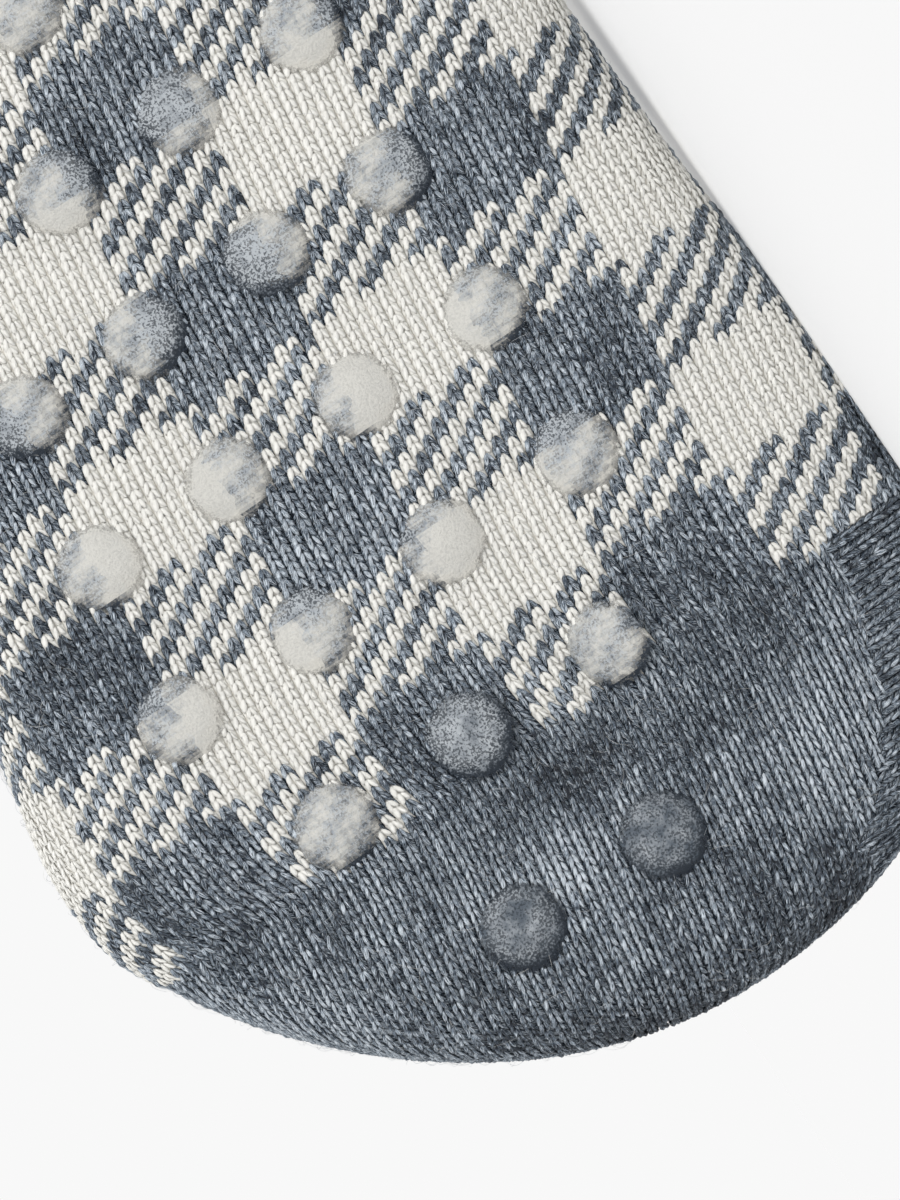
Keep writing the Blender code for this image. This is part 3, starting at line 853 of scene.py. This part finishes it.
foot_rows = even_lines(0.0, heel_start, FOOT_ROW_STEP)
sole_wales = wale_lines(HEEL_LOW_WALE, HEEL_HIGH_WALE)
upper_wales = wale_lines(HEEL_HIGH_WALE, LAST_WALE)
add_cloth("sole_cloth", foot_rows, sole_wales, GROUND, GROUND_LIFT)
add_cloth("foot_top_cloth", foot_rows, upper_wales, KNIT)
add_cloth("toe_sole_cloth", even_lines(TOE_SOLE_END, 0.0, BEND_ROW_STEP), wale_lines(*TOE_SOLE_WALES),
          GROUND, GROUND_LIFT)
add_cloth("toe_top_cloth", even_lines(TOE_TOP_END, 0.0, BEND_ROW_STEP), wale_lines(*TOE_TOP_WALES),
          GROUND, GROUND_LIFT, half="top")
add_cloth("toe_gusset_cloth", even_lines(*GUSSET_COURSES, GUSSET_ROW_STEP), wale_lines(0, GUSSET_WALES),
          GROUND, GROUND_LIFT, half="gusset")
add_cloth("instep_cloth", even_lines(heel_start, ankle_end, BEND_ROW_STEP), upper_wales, KNIT)

# The heel is turned in plain marl, so its courses are charted below the gingham's first
heel_rows = even_lines(0.0, 1.0, 1.0 / HEEL_ROWS)
add_cloth("heel_cloth", heel_start + heel_rows * (ankle_end - heel_start), sole_wales, KNIT,
          chart_courses=HEEL_CHART_START + heel_rows * HEEL_CHART_SPAN)
add_cloth("leg_cloth", even_lines(ankle_end, cuff_start, BEND_ROW_STEP), wale_lines(HEEL_LOW_WALE, LAST_WALE),
          KNIT)

# The cuff: two and two rib in plain marl, thicker than the leg, and folded in at the collar.
# Its inner side runs on as the sock's lining, the purl side of the same cloth, down to the toe.
RIB_DEPTH = 0.55
RIB_SQUARENESS = 2.2
CUFF_LIFT = 0.30
CUFF_EDGE = 1.2
CUFF_CHART_SHIFT = 600.0
CUFF_ROW_STEP = 1.6
RIM_ROWS = 9
LINING_ROW_STEP = 4.0
TOE_LINING_ROW_STEP = 3.0
GUSSET_LINING_ROW_STEP = 1.5


def add_cuff():
    """The cuff's outside, its rounded rim and its inside as one skin, row by row.

    On the rim the rows turn through half a circle of the wall's half thickness. Each row has a base
    height and a share of the ribs, which are a sine squared off by a hyperbolic tangent.
    """
    wales_round = wale_lines(HEEL_LOW_WALE, LAST_WALE)
    rib = np.tanh(RIB_SQUARENESS * np.sin(0.5 * math.pi * (wales_round - 0.5))) * 0.5 + 0.5
    radius = 0.5 * (WALL + CUFF_LIFT)
    rim_course = collar_end - radius / COURSE
    outside = even_lines(cuff_start, rim_course, CUFF_ROW_STEP)[:-1]
    turn = np.linspace(0.0, math.pi, RIM_ROWS)
    inside = even_lines(rim_course, cuff_start, LINING_ROW_STEP)[1:]
    courses = np.concatenate((outside, rim_course + radius * np.sin(turn) / COURSE, inside))
    grown = np.clip((outside - cuff_start) / CUFF_EDGE, 0.0, 1.0)
    base = np.concatenate((CUFF_LIFT * grown, CUFF_LIFT - radius * (1.0 - np.cos(turn)),
                           np.full(len(inside), -WALL)))
    ribbed = np.concatenate((grown, np.cos(0.5 * turn) ** 2, np.zeros(len(inside))))
    lift_net = base[:, None] + RIB_DEPTH * ribbed[:, None] * rib[None, :]
    course_net, wale_net = np.meshgrid(courses, wales_round, indexing="ij")
    points = to_frame(sock_surface(course_net, wale_net, -lift_net)[0].reshape(-1, 3))
    layers = {"stitch": np.stack((wale_net, course_net - CUFF_CHART_SHIFT), axis=-1).reshape(-1, 2)}
    finish_piece(add_mesh("ribbed_cuff", points, grid_faces(len(courses), len(wales_round)), layers, KNIT))


add_cuff()
add_cloth("lining", even_lines(cuff_start, 0.0, LINING_ROW_STEP), even_lines(HEEL_LOW_WALE, LAST_WALE, 2.0),
          KNIT, inset=WALL)
add_cloth("toe_sole_lining", even_lines(0.0, TOE_SOLE_END, TOE_LINING_ROW_STEP),
          even_lines(*TOE_SOLE_WALES, 2.0), KNIT, inset=WALL)
add_cloth("toe_gusset_lining", even_lines(*GUSSET_COURSES[::-1], GUSSET_LINING_ROW_STEP),
          even_lines(0, GUSSET_WALES, 1.0), KNIT, inset=WALL, half="gusset")
add_cloth("toe_top_lining", even_lines(0.0, TOE_TOP_END, TOE_LINING_ROW_STEP),
          even_lines(*TOE_TOP_WALES, 2.0), KNIT, inset=WALL, half="top")

# The modelled stitches: each shows two legs of yarn, and each leg is a spindle of a few faces.
# In the gingham one leg is long and steep and one short and flat; in the toe both are alike.
# start, end: mm to the right of the wale's middle and towards the toe; size: its half width
GINGHAM_LEGS = (
    {"start": (-0.03, -0.26), "end": (-0.44, 1.26), "size": 0.280, "lift": 0.10},
    {"start": (0.08, -0.20), "end": (0.57, 1.12), "size": 0.225, "lift": 0.05},
)
TOE_LEGS = (
    {"start": (-0.10, -0.24), "end": (-0.46, 1.28), "size": 0.24, "lift": 0.06},
    {"start": (0.12, -0.20), "end": (0.46, 1.22), "size": 0.22, "lift": 0.04},
)
SPINE_SHARES = np.array((0.0, 0.2, 0.5, 0.8, 1.0))
SPINE_SIZES = np.array((0.0, 0.78, 1.0, 0.78, 0.0))
SPINE_LIFTS = np.array((-0.20, 0.0, 0.06, 0.0, -0.20))
FINE_SIDES = 5
COARSE_SIDES = 4
COARSE_PLUMPER = 1.1
MARL_DEPTH = 0.78
CREAM_DEPTH = 0.50
LEG_PLUMPNESS = 0.96
CREAM_PLUMPER = 0.14
SLACK_DEPTH = 0.07
TROUGH_SLACK = 0.22
START_WOBBLE = 0.050
END_WOBBLE = 0.065
SIZE_SPREAD = 0.08
LIFT_SPREAD = 0.04
STRAND_SPREAD = 40.0
stitch_dice = np.random.default_rng(11)

# Painted shade of the marl's creases and folds (painted light, below 0): course, wale, their reach, how much
CREASE_PAINTED_SHADE_AND_LIGHT = (
    (-5.5, -2.0, 2.6, 5.5, 1.1),
    (-10.0, -11.0, 3.5, 4.0, 1.0),
    (-2.0, -17.0, 8.0, 1.5, 0.7),
    (1.0, -21.5, 6.0, 1.2, 0.6),
    (-14.0, -20.0, 9.0, 6.0, -0.9),
    (-13.0, 1.0, 3.2, 8.0, -0.9),
    (-12.0, 22.0, 6.0, 7.0, -0.6),
    (34.0, 24.0, 8.0, 6.0, 0.4),
    (27.0, 3.5, 6.0, 5.0, -1.0),
)
# At the toe's rim the marl gets a painted shade where the form turns away from the light
TOE_RIM_X = 241.0
TOE_RIM_REACH = 7.0
TOE_RIM_PAINTED_SHADE = 0.9
UPPER_DARKER = 0.3


def tone_and_painted_shade(courses, wales, x):
    """How much darker the marl is at each stitch: slanting sines of random tone, and painted shade (painted
    light where below 0) in the creases' humps and at the toe's rim.
    """
    tone = 0.30 * np.sin(0.9 * wales + 0.13 * courses + 0.5) * np.sin(0.23 * courses - 0.07 * wales + 1.0)
    tone += 0.25 * np.sin(0.31 * wales - 0.19 * courses)
    tone += TOE_RIM_PAINTED_SHADE * np.exp(-((x - TOE_RIM_X) / TOE_RIM_REACH) ** 2)
    for course, wale, along, across, amount in CREASE_PAINTED_SHADE_AND_LIGHT:
        tone += amount * hump(courses - course, wales - wale, along, across)
    return tone


def spindle_faces(rings, sides):
    """Faces of a closed spindle: a point, rings of corners and a point, as triangles."""
    around = np.arange(sides)
    after = (around + 1) % sides
    faces = [np.stack((np.zeros(sides, int), 1 + after, 1 + around), axis=1)]
    for ring in range(rings - 1):
        low, high = 1 + ring * sides, 1 + (ring + 1) * sides
        faces.append(np.stack((low + around, low + after, high + after), axis=1))
        faces.append(np.stack((low + around, high + after, high + around), axis=1))
    last = 1 + rings * sides
    low = last - sides
    faces.append(np.stack((low + around, low + after, np.full(sides, last)), axis=1))
    return np.concatenate(faces)


def stitch_legs(courses, wales, leg, shares, sizes, lifts, sides, half):
    """Corner points and UV places of one leg of every stitch given.

    The leg's spine is a straight line on the unrolled cloth, laid on the surface. Its rings are
    flattened circles that stand square to the spine, each a share of the leg's half width.
    """
    count = len(courses)
    cream = is_cream(courses, wales)
    wobble = stitch_dice.normal(0.0, 1.0, (count, 4))
    start = np.array(leg["start"])[None, :] + wobble[:, 0:2] * START_WOBBLE
    end = np.array(leg["end"])[None, :] + wobble[:, 2:4] * END_WOBBLE
    slack = SLACK_DEPTH * (np.sin(0.47 * wales + 0.05 * courses + 1.3) * np.sin(0.16 * courses + 0.7) + 0.5)
    slack += TROUGH_SLACK * hump(courses + 5.0, wales + 9.0, 6.5, 13.0)
    plumpness = LEG_PLUMPNESS + CREAM_PLUMPER * cream + stitch_dice.normal(0.0, SIZE_SPREAD, count) - slack
    raised = leg["lift"] + stitch_dice.normal(0.0, LIFT_SPREAD, count)
    spot = start[:, None, :] + shares[None, :, None] * (end - start)[:, None, :]
    spine_wales = (wales + 0.5)[:, None] - spot[..., 0] / START_WALE_WIDTH
    spine_courses = (courses + 1.0)[:, None] - spot[..., 1] / COURSE
    centers, _ = sock_surface(spine_courses, spine_wales, 0.0, half, False)
    normals = sock_normals(spine_courses, spine_wales, half)
    along = centers[:, -1] - centers[:, 0]
    along /= np.linalg.norm(along, axis=-1, keepdims=True)
    beside = np.cross(normals, along[:, None, :])
    beside /= np.linalg.norm(beside, axis=-1, keepdims=True)
    centers = centers + normals * (raised[:, None] + lifts[None, :])[..., None]
    turn = np.radians(90.0) + 2.0 * math.pi * np.arange(sides) / sides
    depth = np.where(cream > 0.5, CREAM_DEPTH, MARL_DEPTH)[:, None, None, None]
    ring = (np.cos(turn)[None, None, :, None] * beside[:, 1:-1, None, :]
            + depth * np.sin(turn)[None, None, :, None] * normals[:, 1:-1, None, :])
    radius = ((leg["size"] * plumpness)[:, None] * sizes[None, 1:-1])[..., None, None]
    ring = centers[:, 1:-1, None, :] + radius * ring
    points = np.concatenate((centers[:, :1], ring.reshape(count, -1, 3), centers[:, -1:]), axis=1)
    spine_share = np.concatenate(([0.0], np.repeat(shares[1:-1], sides), [1.0]))
    along_uv = spine_share[None, :] * np.linalg.norm(end - start, axis=1)[:, None]
    ring_share = np.abs(np.linspace(-1.0, 1.0, sides, endpoint=False))
    around_uv = np.concatenate(([0.5], np.tile(ring_share, len(shares) - 2), [0.5]))
    strand = stitch_dice.uniform(0.0, STRAND_SPREAD, count)
    yarn_uv = np.stack((along_uv + strand[:, None], np.broadcast_to(around_uv, along_uv.shape)), axis=-1)
    stitch_uv = np.broadcast_to(np.stack((wales + 0.5, courses + 0.5), axis=-1)[:, None, :], yarn_uv.shape)
    # The sole's stitches carry random tone with painted shade and light; the others are darker by a constant
    tone = tone_and_painted_shade(courses, wales, centers[:, 2, 0]) if half == "sole" else np.full(count, UPPER_DARKER)
    tone_uv = np.broadcast_to(tone[:, None, None], yarn_uv.shape)
    return points, stitch_uv, yarn_uv, tone_uv


def stitch_material():
    """The modelled stitches' yarn: its colour by the chart, with fibres along each leg."""
    material, bench, shader = new_material("stitch yarn")
    place, length = bench.parts("stitch"), bench.parts("yarn")
    chart = bench.group(GINGHAM, Wale=place[0], Course=place[1])["Cream"]
    strand = bench.times(bench.plus(place[0], place[1]), 0.37)
    yarn = bench.group(YARN, Along=length[0], Around=length[1], Strand=strand, Darker=bench.parts("tone")[0],
                       Cream=chart)
    bench.put(shader["Base Color"], yarn["Color"])
    shader["Sheen Weight"].default_value = 0.10
    shader["Sheen Roughness"].default_value = 0.6
    shader["Roughness"].default_value = 0.88
    shader["Specular IOR Level"].default_value = 0.3
    bench.put(shader["Normal"], bench.bump(yarn["Fibre"], 0.00012))
    return material


STITCH = stitch_material()


def add_stitches(name, courses, wales, legs, half="sole", fine=True):
    """All the given stitches as one mesh of spindles, which have fewer faces where they aren't fine."""
    shares, sizes, lifts, sides = SPINE_SHARES, SPINE_SIZES, SPINE_LIFTS, FINE_SIDES
    if not fine:
        shares, sizes, lifts, sides = shares[::2], sizes[::2] * COARSE_PLUMPER, lifts[::2], COARSE_SIDES
    points, stitch_uv, yarn_uv, tone_uv = (np.concatenate(arrays) for arrays in zip(
        *(stitch_legs(courses, wales, leg, shares, sizes, lifts, sides, half) for leg in legs)))
    corners = points.shape[1]
    faces = spindle_faces(len(shares) - 2, sides)
    faces = (faces[None] + (np.arange(len(points)) * corners)[:, None, None]).reshape(-1, 3)[:, ::-1]
    layers = {"stitch": stitch_uv.reshape(-1, 2), "yarn": yarn_uv.reshape(-1, 2),
              "tone": tone_uv.reshape(-1, 2)}
    return add_mesh(name, to_frame(points.reshape(-1, 3)), faces, layers, STITCH)


def stitch_places(first_course, last_course, first_wale, last_wale):
    """Every course and wale in a range, as two equal rows."""
    courses, wales = np.meshgrid(np.arange(first_course, last_course), np.arange(first_wale, last_wale),
                                 indexing="ij")
    return courses.ravel().astype(float), wales.ravel().astype(float)


# The grip dots' places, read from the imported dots. The stitches of the sole and toe that a dot
# hides are left out, and the dots themselves follow after the stitches.
DOT_CLEAR = 3.5
DOTTED_RANGE = (-44, 133, HEEL_LOW_WALE, HEEL_HIGH_WALE + 1)


def dot_places():
    """Each dot's node, its middle and directions on the sole, and its wale and course.

    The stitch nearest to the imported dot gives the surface's directions, and the rest of the way
    to the dot's middle is measured along them.
    """
    courses, wales = stitch_places(*DOTTED_RANGE)
    points = sock_surface(courses, wales)[0]
    places = []
    for node in sorted(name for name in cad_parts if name.startswith("grip_dot")):
        low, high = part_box(node)
        middle = 0.5 * (low + high)
        spot = np.array((1000.0 * (CAD_HIGH.x - middle.x), LEG_HEIGHT - 1000.0 * (CAD_HIGH.y - middle.y),
                         1000.0 * middle.z))
        nearest = np.argmin(np.linalg.norm(points - spot, axis=1))
        course, wale = courses[nearest], wales[nearest]
        normal = sock_normals(np.array([course]), np.array([wale]))[0]
        middle_here = spot - normal * np.dot(spot - points[nearest], normal)
        step = np.array([0.0, 1.0])
        beside = np.diff(sock_surface(np.full(2, course), wale + step)[0], axis=0)[0]
        beside /= np.linalg.norm(beside)
        offset = middle_here - points[nearest]
        next_course = np.diff(sock_surface(course + step, np.full(2, wale))[0], axis=0)[0]
        towards_toe = np.cross(normal, beside)
        towards_toe *= -np.sign(np.dot(towards_toe, next_course))
        wale += np.dot(offset, beside) / START_WALE_WIDTH
        course -= np.dot(offset, towards_toe) / COURSE
        places.append((node, middle_here, normal, beside, towards_toe, wale, course))
    return places


DOT_PLACES = dot_places()
DOT_CENTERS = np.array([place[1] for place in DOT_PLACES])


def under_dot(courses, wales):
    """Which stitches lie hidden under a dot."""
    points = sock_surface(courses + 0.5, wales + 0.5, limit=False)[0]
    apart = np.linalg.norm(points[:, None, :] - DOT_CENTERS[None, :, :], axis=-1).min(axis=1)
    return apart < DOT_CLEAR


# The sole's stitches. From the toe up to two slanting edges, which meet in a corner on the sole at
# a given x and z, their spindles are finer, in two pieces that part at a course. The rest are coarse.
CLOSE_CORNER_X = 114.0
CLOSE_CORNER_Z = 46.8
CLOSE_SLOPE_ABOVE = 1.48
CLOSE_SLOPE_BELOW = -0.674
SOLE_FACING = 0.25
FRONT_END_COURSE = 34

courses, wales = stitch_places(0, int(heel_start), HEEL_LOW_WALE, HEEL_HIGH_WALE)
centers, _ = sock_surface(courses, wales)
above = centers[:, 2] - CLOSE_CORNER_Z
close = centers[:, 0] > CLOSE_CORNER_X + above * np.where(above > 0.0, CLOSE_SLOPE_ABOVE, CLOSE_SLOPE_BELOW)
close &= sock_normals(courses, wales)[:, 1] < SOLE_FACING
bare = ~under_dot(courses, wales)
front = courses < FRONT_END_COURSE
for name, chosen, fine in (("sole_stitches_front", close & front, True),
                           ("sole_stitches_back", close & ~front, True),
                           ("sole_stitches_rest", ~close, False)):
    finish_piece(add_stitches(name, courses[chosen & bare], wales[chosen & bare], GINGHAM_LEGS, fine=fine))

# The toe's stitches: its sole half, its top half with finer ones along the edge, and the gusset.
# Each range is first course, last course, first wale and last wale, and runs on past the gore.
UPPER_FACING = 0.3
TOE_SOLE_RANGE = (-58, 0, -44, 50)
TOE_TOP_RANGE = (-86, 0, 20, 150)
GUSSET_RANGE = (-66, -12, 0, GUSSET_WALES)

courses, wales = stitch_places(*TOE_SOLE_RANGE)
beyond = sock_surface(courses + 0.5, wales + 0.5)[1]
bare = ~beyond & ~under_dot(courses, wales)
finish_piece(add_stitches("toe_sole_stitches", courses[bare], wales[bare], TOE_LEGS))

courses, wales = stitch_places(*TOE_TOP_RANGE)
bare = ~sock_surface(courses + 0.5, wales + 0.5, half="top")[1]
seen = sock_normals(courses, wales, "top")[:, 1] < UPPER_FACING
for name, chosen, fine in (("toe_edge_stitches", bare & seen, True),
                           ("toe_top_stitches", bare & ~seen, False)):
    finish_piece(add_stitches(name, courses[chosen], wales[chosen], TOE_LEGS, half="top", fine=fine))

courses, wales = stitch_places(*GUSSET_RANGE)
bare = ~sock_surface(courses + 0.5, wales + 0.5, half="gusset")[1]
finish_piece(add_stitches("toe_gusset_stitches", courses[bare], wales[bare], TOE_LEGS, half="gusset"))

# The toe seam: the linked row that closes the toe across its top, in the same marl yarn. It is
# a raised row of plump loops, each one slanting leg from the toe's edge to the foot's.
SEAM_TURNS = (16.0, 143.0)
SEAM_LEGS = ({"start": (-0.7, -0.65), "end": (0.7, 0.75), "size": 0.50, "lift": 0.55},)
seam_wales = START_MIDDLE_WALE + WALES * np.interp(SEAM_TURNS, turn_grid, ring_lengths[0] / START_GIRTH)
wales = np.arange(math.ceil(seam_wales[0]), math.floor(seam_wales[1])).astype(float)
seam = add_stitches("linked_toe_seam", np.zeros(len(wales)), wales, SEAM_LEGS)
finish_piece(seam, "toe_seam")

# The grip dots: soft silicone printed on the sole in low frosted domes, one object each.
# Each has soaked into the yarn, so its rim is uneven and the knit's colours show through, blurred.
DOT_RADIUS = 4.60
DOT_RISE = 1.15
DOT_SINK = 0.30
DOT_RINGS = 9
DOT_SPOKES = 32
# The crown is set off towards the heel, the key light's side: partly the frost's spread, partly painted light
# on the crown and painted shade on the rim towards the toe
DOT_FROST_AND_SHADE_SHIFT = (0.04, -0.16, 0.0)
DOT_FROST_START = -23.0
DOT_FROST_SPAN = 16.0
DOT_RIM_WAVES = ((2, 0.022), (3, 0.016), (5, 0.010), (9, 0.008))
DOT_LIFT = 0.12
DOT_UNEVEN = 0.05
DOT_RISE_SHARES = (0.93, 1.07)
DOT_FROST_SPREAD = 0.06
WAVE_STARTS = (0.0, 6.3)
BLUR_TAPS = ((-1.2, 0.0), (-0.4, 0.0), (0.4, 0.0), (1.2, 0.0),
             (0.0, -1.2), (0.0, -0.4), (0.0, 0.4), (0.0, 1.2))
CLOUD_SCALE = 520.0
DRIFT_SCALE = 900.0
SPECKLE_SCALE = 4300.0
CLEAR_SHADES = ((0.0, (0.008, 0.013, 0.022, 1.0)), (0.45, (0.026, 0.037, 0.052, 1.0)),
                (1.0, (0.070, 0.088, 0.110, 1.0)))
FROSTED_SHADES = ((0.0, (0.018, 0.026, 0.040, 1.0)), (0.45, (0.120, 0.138, 0.160, 1.0)),
                  (1.0, (0.385, 0.412, 0.438, 1.0)))
OVER_CREAM_RIM = (0.600, 0.580, 0.530, 1.0)
OVER_CREAM_CROWN = (0.545, 0.535, 0.500, 1.0)
MARL_PIT = (0.012, 0.018, 0.026, 1.0)
CREAM_PIT = (0.150, 0.160, 0.170, 1.0)


def dot_material():
    """Frosted silicone: pale over its crown, dark and clear at its rim over marl, warm over cream.

    The gingham under it is read at a few places about each point and averaged, so that its colours
    show through as a blur. Noise of three sizes breaks up the blur, the frost, the pits and the rim.
    """
    material, bench, shader = new_material("frosted silicone")
    place = bench.parts("stitch")
    spot = bench.add("ShaderNodeUVMap", uv_map="dome").outputs[0]
    own = bench.add("ShaderNodeTexCoord").outputs["Object"]
    level = bench.parts("frost")[0]
    cloud = bench.noise(own, CLOUD_SCALE, 3.0, 0.62)
    drift = bench.noise(own, DRIFT_SCALE, 2.0, 0.5)
    speckle = bench.noise(own, SPECKLE_SCALE, 2.0, 0.6)
    taps = []
    for shift_wale, shift_course in BLUR_TAPS:
        wale = bench.plus(place[0], shift_wale, bench.swing(drift, 0.5, 1.8))
        course = bench.plus(place[1], shift_course)
        taps.append(bench.group(GINGHAM, Wale=wale, Course=course)["Cream"])
    blur = bench.math("DIVIDE", bench.plus(*taps), float(len(taps)))
    blur = bench.plus(blur, bench.swing(cloud, 0.5, 0.5), bench.swing(speckle, 0.5, 0.8))
    cream = bench.span(blur, 0.22, 0.78)
    uneven = bench.plus(bench.swing(drift, 0.5, 0.30), bench.swing(speckle, 0.5, 0.25))
    edge = bench.plus(bench.plus(bench.length(spot), uneven), bench.times(cream, 0.08))
    bench.put(shader["Alpha"], bench.span(edge, 1.02, 0.86))
    # The crown's shift leans the pale frost towards the light and widens the dark rim away from it: partly
    # frost, partly painted light and shade
    shifted = bench.add("ShaderNodeVectorMath", {0: spot, 1: DOT_FROST_AND_SHADE_SHIFT}, operation="SUBTRACT")
    inward = bench.plus(bench.length(shifted.outputs["Vector"]), bench.swing(cloud, 0.5, 0.75),
                        bench.swing(speckle, 0.5, 0.45))
    crown = bench.span(inward, 0.96, 0.72)
    pits = bench.span(bench.plus(speckle, bench.times(bench.span(inward, 0.1, 1.0), 0.13)), 0.54, 0.62)
    frost = bench.span(bench.plus(level, bench.swing(cloud, 0.53, 2.4)), 0.0, 1.0)
    over_marl = bench.mix(frost, bench.ramp(crown, CLEAR_SHADES), bench.ramp(crown, FROSTED_SHADES))
    over_marl = bench.mix(bench.times(pits, 0.78), over_marl, MARL_PIT)
    over_cream = bench.mix(crown, OVER_CREAM_RIM, OVER_CREAM_CROWN)
    over_cream = bench.mix(bench.times(pits, 0.14), over_cream, CREAM_PIT)
    bench.put(shader["Base Color"], bench.mix(cream, over_marl, over_cream))
    shader["Roughness"].default_value = 0.42
    shader["Specular IOR Level"].default_value = 0.32
    relief = bench.plus(bench.times(cloud, 1.0), bench.times(speckle, 0.55))
    bench.put(shader["Normal"], bench.bump(relief, 0.00030))
    return material


SILICONE = dot_material()


def add_dot(index, node, middle, normal, beside, towards_toe, wale, course):
    """A dome of rings about its middle: height = rise x (1 - r to the 2.4) to the 0.8, less the sink.

    The rim's radius wavers with four slow waves round it. A triangle fan closes the crown.
    """
    dice = np.random.default_rng(100 + index)
    spokes = 2.0 * math.pi * np.arange(DOT_SPOKES) / DOT_SPOKES
    rings = np.sin(np.linspace(0.0, 0.5 * math.pi, DOT_RINGS + 1))[1:]
    waver = 1.0 + sum(size * np.cos(times * spokes + dice.uniform(*WAVE_STARTS))
                      for times, size in DOT_RIM_WAVES)
    share = np.concatenate(([0.0], np.repeat(rings, DOT_SPOKES)))
    around = np.concatenate(([0.0], np.tile(spokes, DOT_RINGS)))
    reach = DOT_RADIUS * share * np.concatenate(([1.0], np.tile(waver, DOT_RINGS)))
    across, along = reach * np.cos(around), reach * np.sin(around)
    height = DOT_RISE * dice.uniform(*DOT_RISE_SHARES) * (1.0 - share ** 2.4) ** 0.8 - DOT_SINK * share ** 2
    waves = (np.sin(1.1 * across + dice.uniform(*WAVE_STARTS)),
             np.sin(1.3 * along + dice.uniform(*WAVE_STARTS)))
    height += DOT_UNEVEN * waves[0] * waves[1] + DOT_LIFT
    points = middle + across[:, None] * beside + along[:, None] * towards_toe + height[:, None] * normal
    first = 1 + np.arange(DOT_SPOKES)
    after = 1 + (np.arange(DOT_SPOKES) + 1) % DOT_SPOKES
    ring = np.arange(DOT_RINGS - 1)[:, None] * DOT_SPOKES
    below = ring + DOT_SPOKES
    faces = np.concatenate((np.stack((np.zeros(DOT_SPOKES, int), first, after), axis=1),
                            np.stack((ring + first, below + first, below + after), axis=-1).reshape(-1, 3),
                            np.stack((ring + first, below + after, ring + after), axis=-1).reshape(-1, 3)))
    corner = points[faces]
    outward = np.cross(corner[:, 1] - corner[:, 0], corner[:, 2] - corner[:, 0]) @ normal
    if outward.sum() > 0.0:
        faces = faces[:, ::-1]
    frost = 1.0 - math.exp(min(DOT_FROST_START - course, -1.0) / DOT_FROST_SPAN)
    frost += dice.normal(0.0, DOT_FROST_SPREAD)
    layers = {"stitch": np.stack((wale + across / START_WALE_WIDTH, course - along / COURSE), axis=1),
              "dome": np.stack((across, along), axis=1) / DOT_RADIUS,
              "frost": np.full((len(points), 2), frost)}
    finish_piece(add_mesh(node + "_silicone", to_frame(points), faces, layers, SILICONE), node)


for index, place in enumerate(DOT_PLACES):
    add_dot(index, *place)

# The fuzz: short loose fibres of the cotton that stand off the yarn all over the visible side.
# Each is a thin curved hair, some slate and some pale, that rises from the cloth and bends over.
FIBRES = 1800
FIBRE_HALF_WIDTH = 0.012
FIBRE_RINGS = 6
FIBRE_SIDES = 3
FIBRE_ROOT_LIFT = 0.28
FUZZY_COURSES = (-36.0, 95.0)
FUZZY_WALES = (-30.0, 42.0)
FIBRE_LENGTHS = (0.5, 2.6)
FIBRE_RISES = (0.05, 0.55)
FIBRE_BEND_SPREAD = 0.5
FIBRE_SHADES = ((0.0, (0.16, 0.19, 0.23, 1.0)), (0.5, (0.50, 0.53, 0.56, 1.0)),
                (1.0, (0.80, 0.79, 0.76, 1.0)))


def fibre_material():
    """Loose fibres take a pale or slate colour by their own number."""
    material, bench, shader = new_material("loose fibres")
    bench.put(shader["Base Color"], bench.ramp(bench.parts("yarn")[0], FIBRE_SHADES))
    shader["Roughness"].default_value = 0.8
    return material


def add_fuzz():
    """All fibres as one mesh of thin three-sided tubes.

    A path runs ahead along the cloth, rises by half a sine and bends aside by the square of the way.
    """
    dice = np.random.default_rng(5)
    courses = dice.uniform(*FUZZY_COURSES, FIBRES)
    wales = dice.uniform(*FUZZY_WALES, FIBRES)
    root, beyond = sock_surface(courses, wales)
    courses, wales, root = courses[~beyond], wales[~beyond], root[~beyond]
    count = len(root)
    normal = sock_normals(courses, wales)
    along = sock_surface(courses + 0.5, wales)[0] - sock_surface(courses - 0.5, wales)[0]
    along /= np.linalg.norm(along, axis=1, keepdims=True)
    beside = np.cross(normal, along)
    heading = dice.uniform(0.0, 2.0 * math.pi, count)[:, None]
    ahead = np.cos(heading) * along + np.sin(heading) * beside
    side = np.cross(normal, ahead)
    length = dice.uniform(*FIBRE_LENGTHS, count)[:, None]
    rise = dice.uniform(*FIBRE_RISES, count)[:, None]
    bend = dice.normal(0.0, FIBRE_BEND_SPREAD, count)[:, None]
    t = np.linspace(0.0, 1.0, FIBRE_RINGS)[None, :, None]
    path = (root[:, None] + (normal * FIBRE_ROOT_LIFT)[:, None] + t * (length * ahead)[:, None]
            + np.sin(math.pi * t) * (rise * normal)[:, None] + (t * t) * (bend * length * side)[:, None])
    turn = 2.0 * math.pi * np.arange(FIBRE_SIDES) / FIBRE_SIDES
    ring = FIBRE_HALF_WIDTH * (np.cos(turn)[None, None, :, None] * side[:, None, None, :]
                               + np.sin(turn)[None, None, :, None] * normal[:, None, None, :])
    points = (path[:, :, None, :] + ring).reshape(count, -1, 3)
    corners = points.shape[1]
    rows = np.arange(FIBRE_RINGS - 1)[:, None] * FIBRE_SIDES
    corner = np.arange(FIBRE_SIDES)[None, :]
    after = (corner + 1) % FIBRE_SIDES
    below = rows + FIBRE_SIDES
    quads = np.stack((rows + corner, rows + after, below + after, below + corner), axis=-1).reshape(-1, 4)
    faces = (quads[None] + (np.arange(count) * corners)[:, None, None]).reshape(-1, 4)
    number = np.repeat(dice.uniform(0.0, 1.0, count), corners)
    layers = {"yarn": np.stack((number, number), axis=1)}
    finish_piece(add_mesh("loose_fibres", to_frame(points.reshape(-1, 3)), faces, layers, fibre_material()))


add_fuzz()
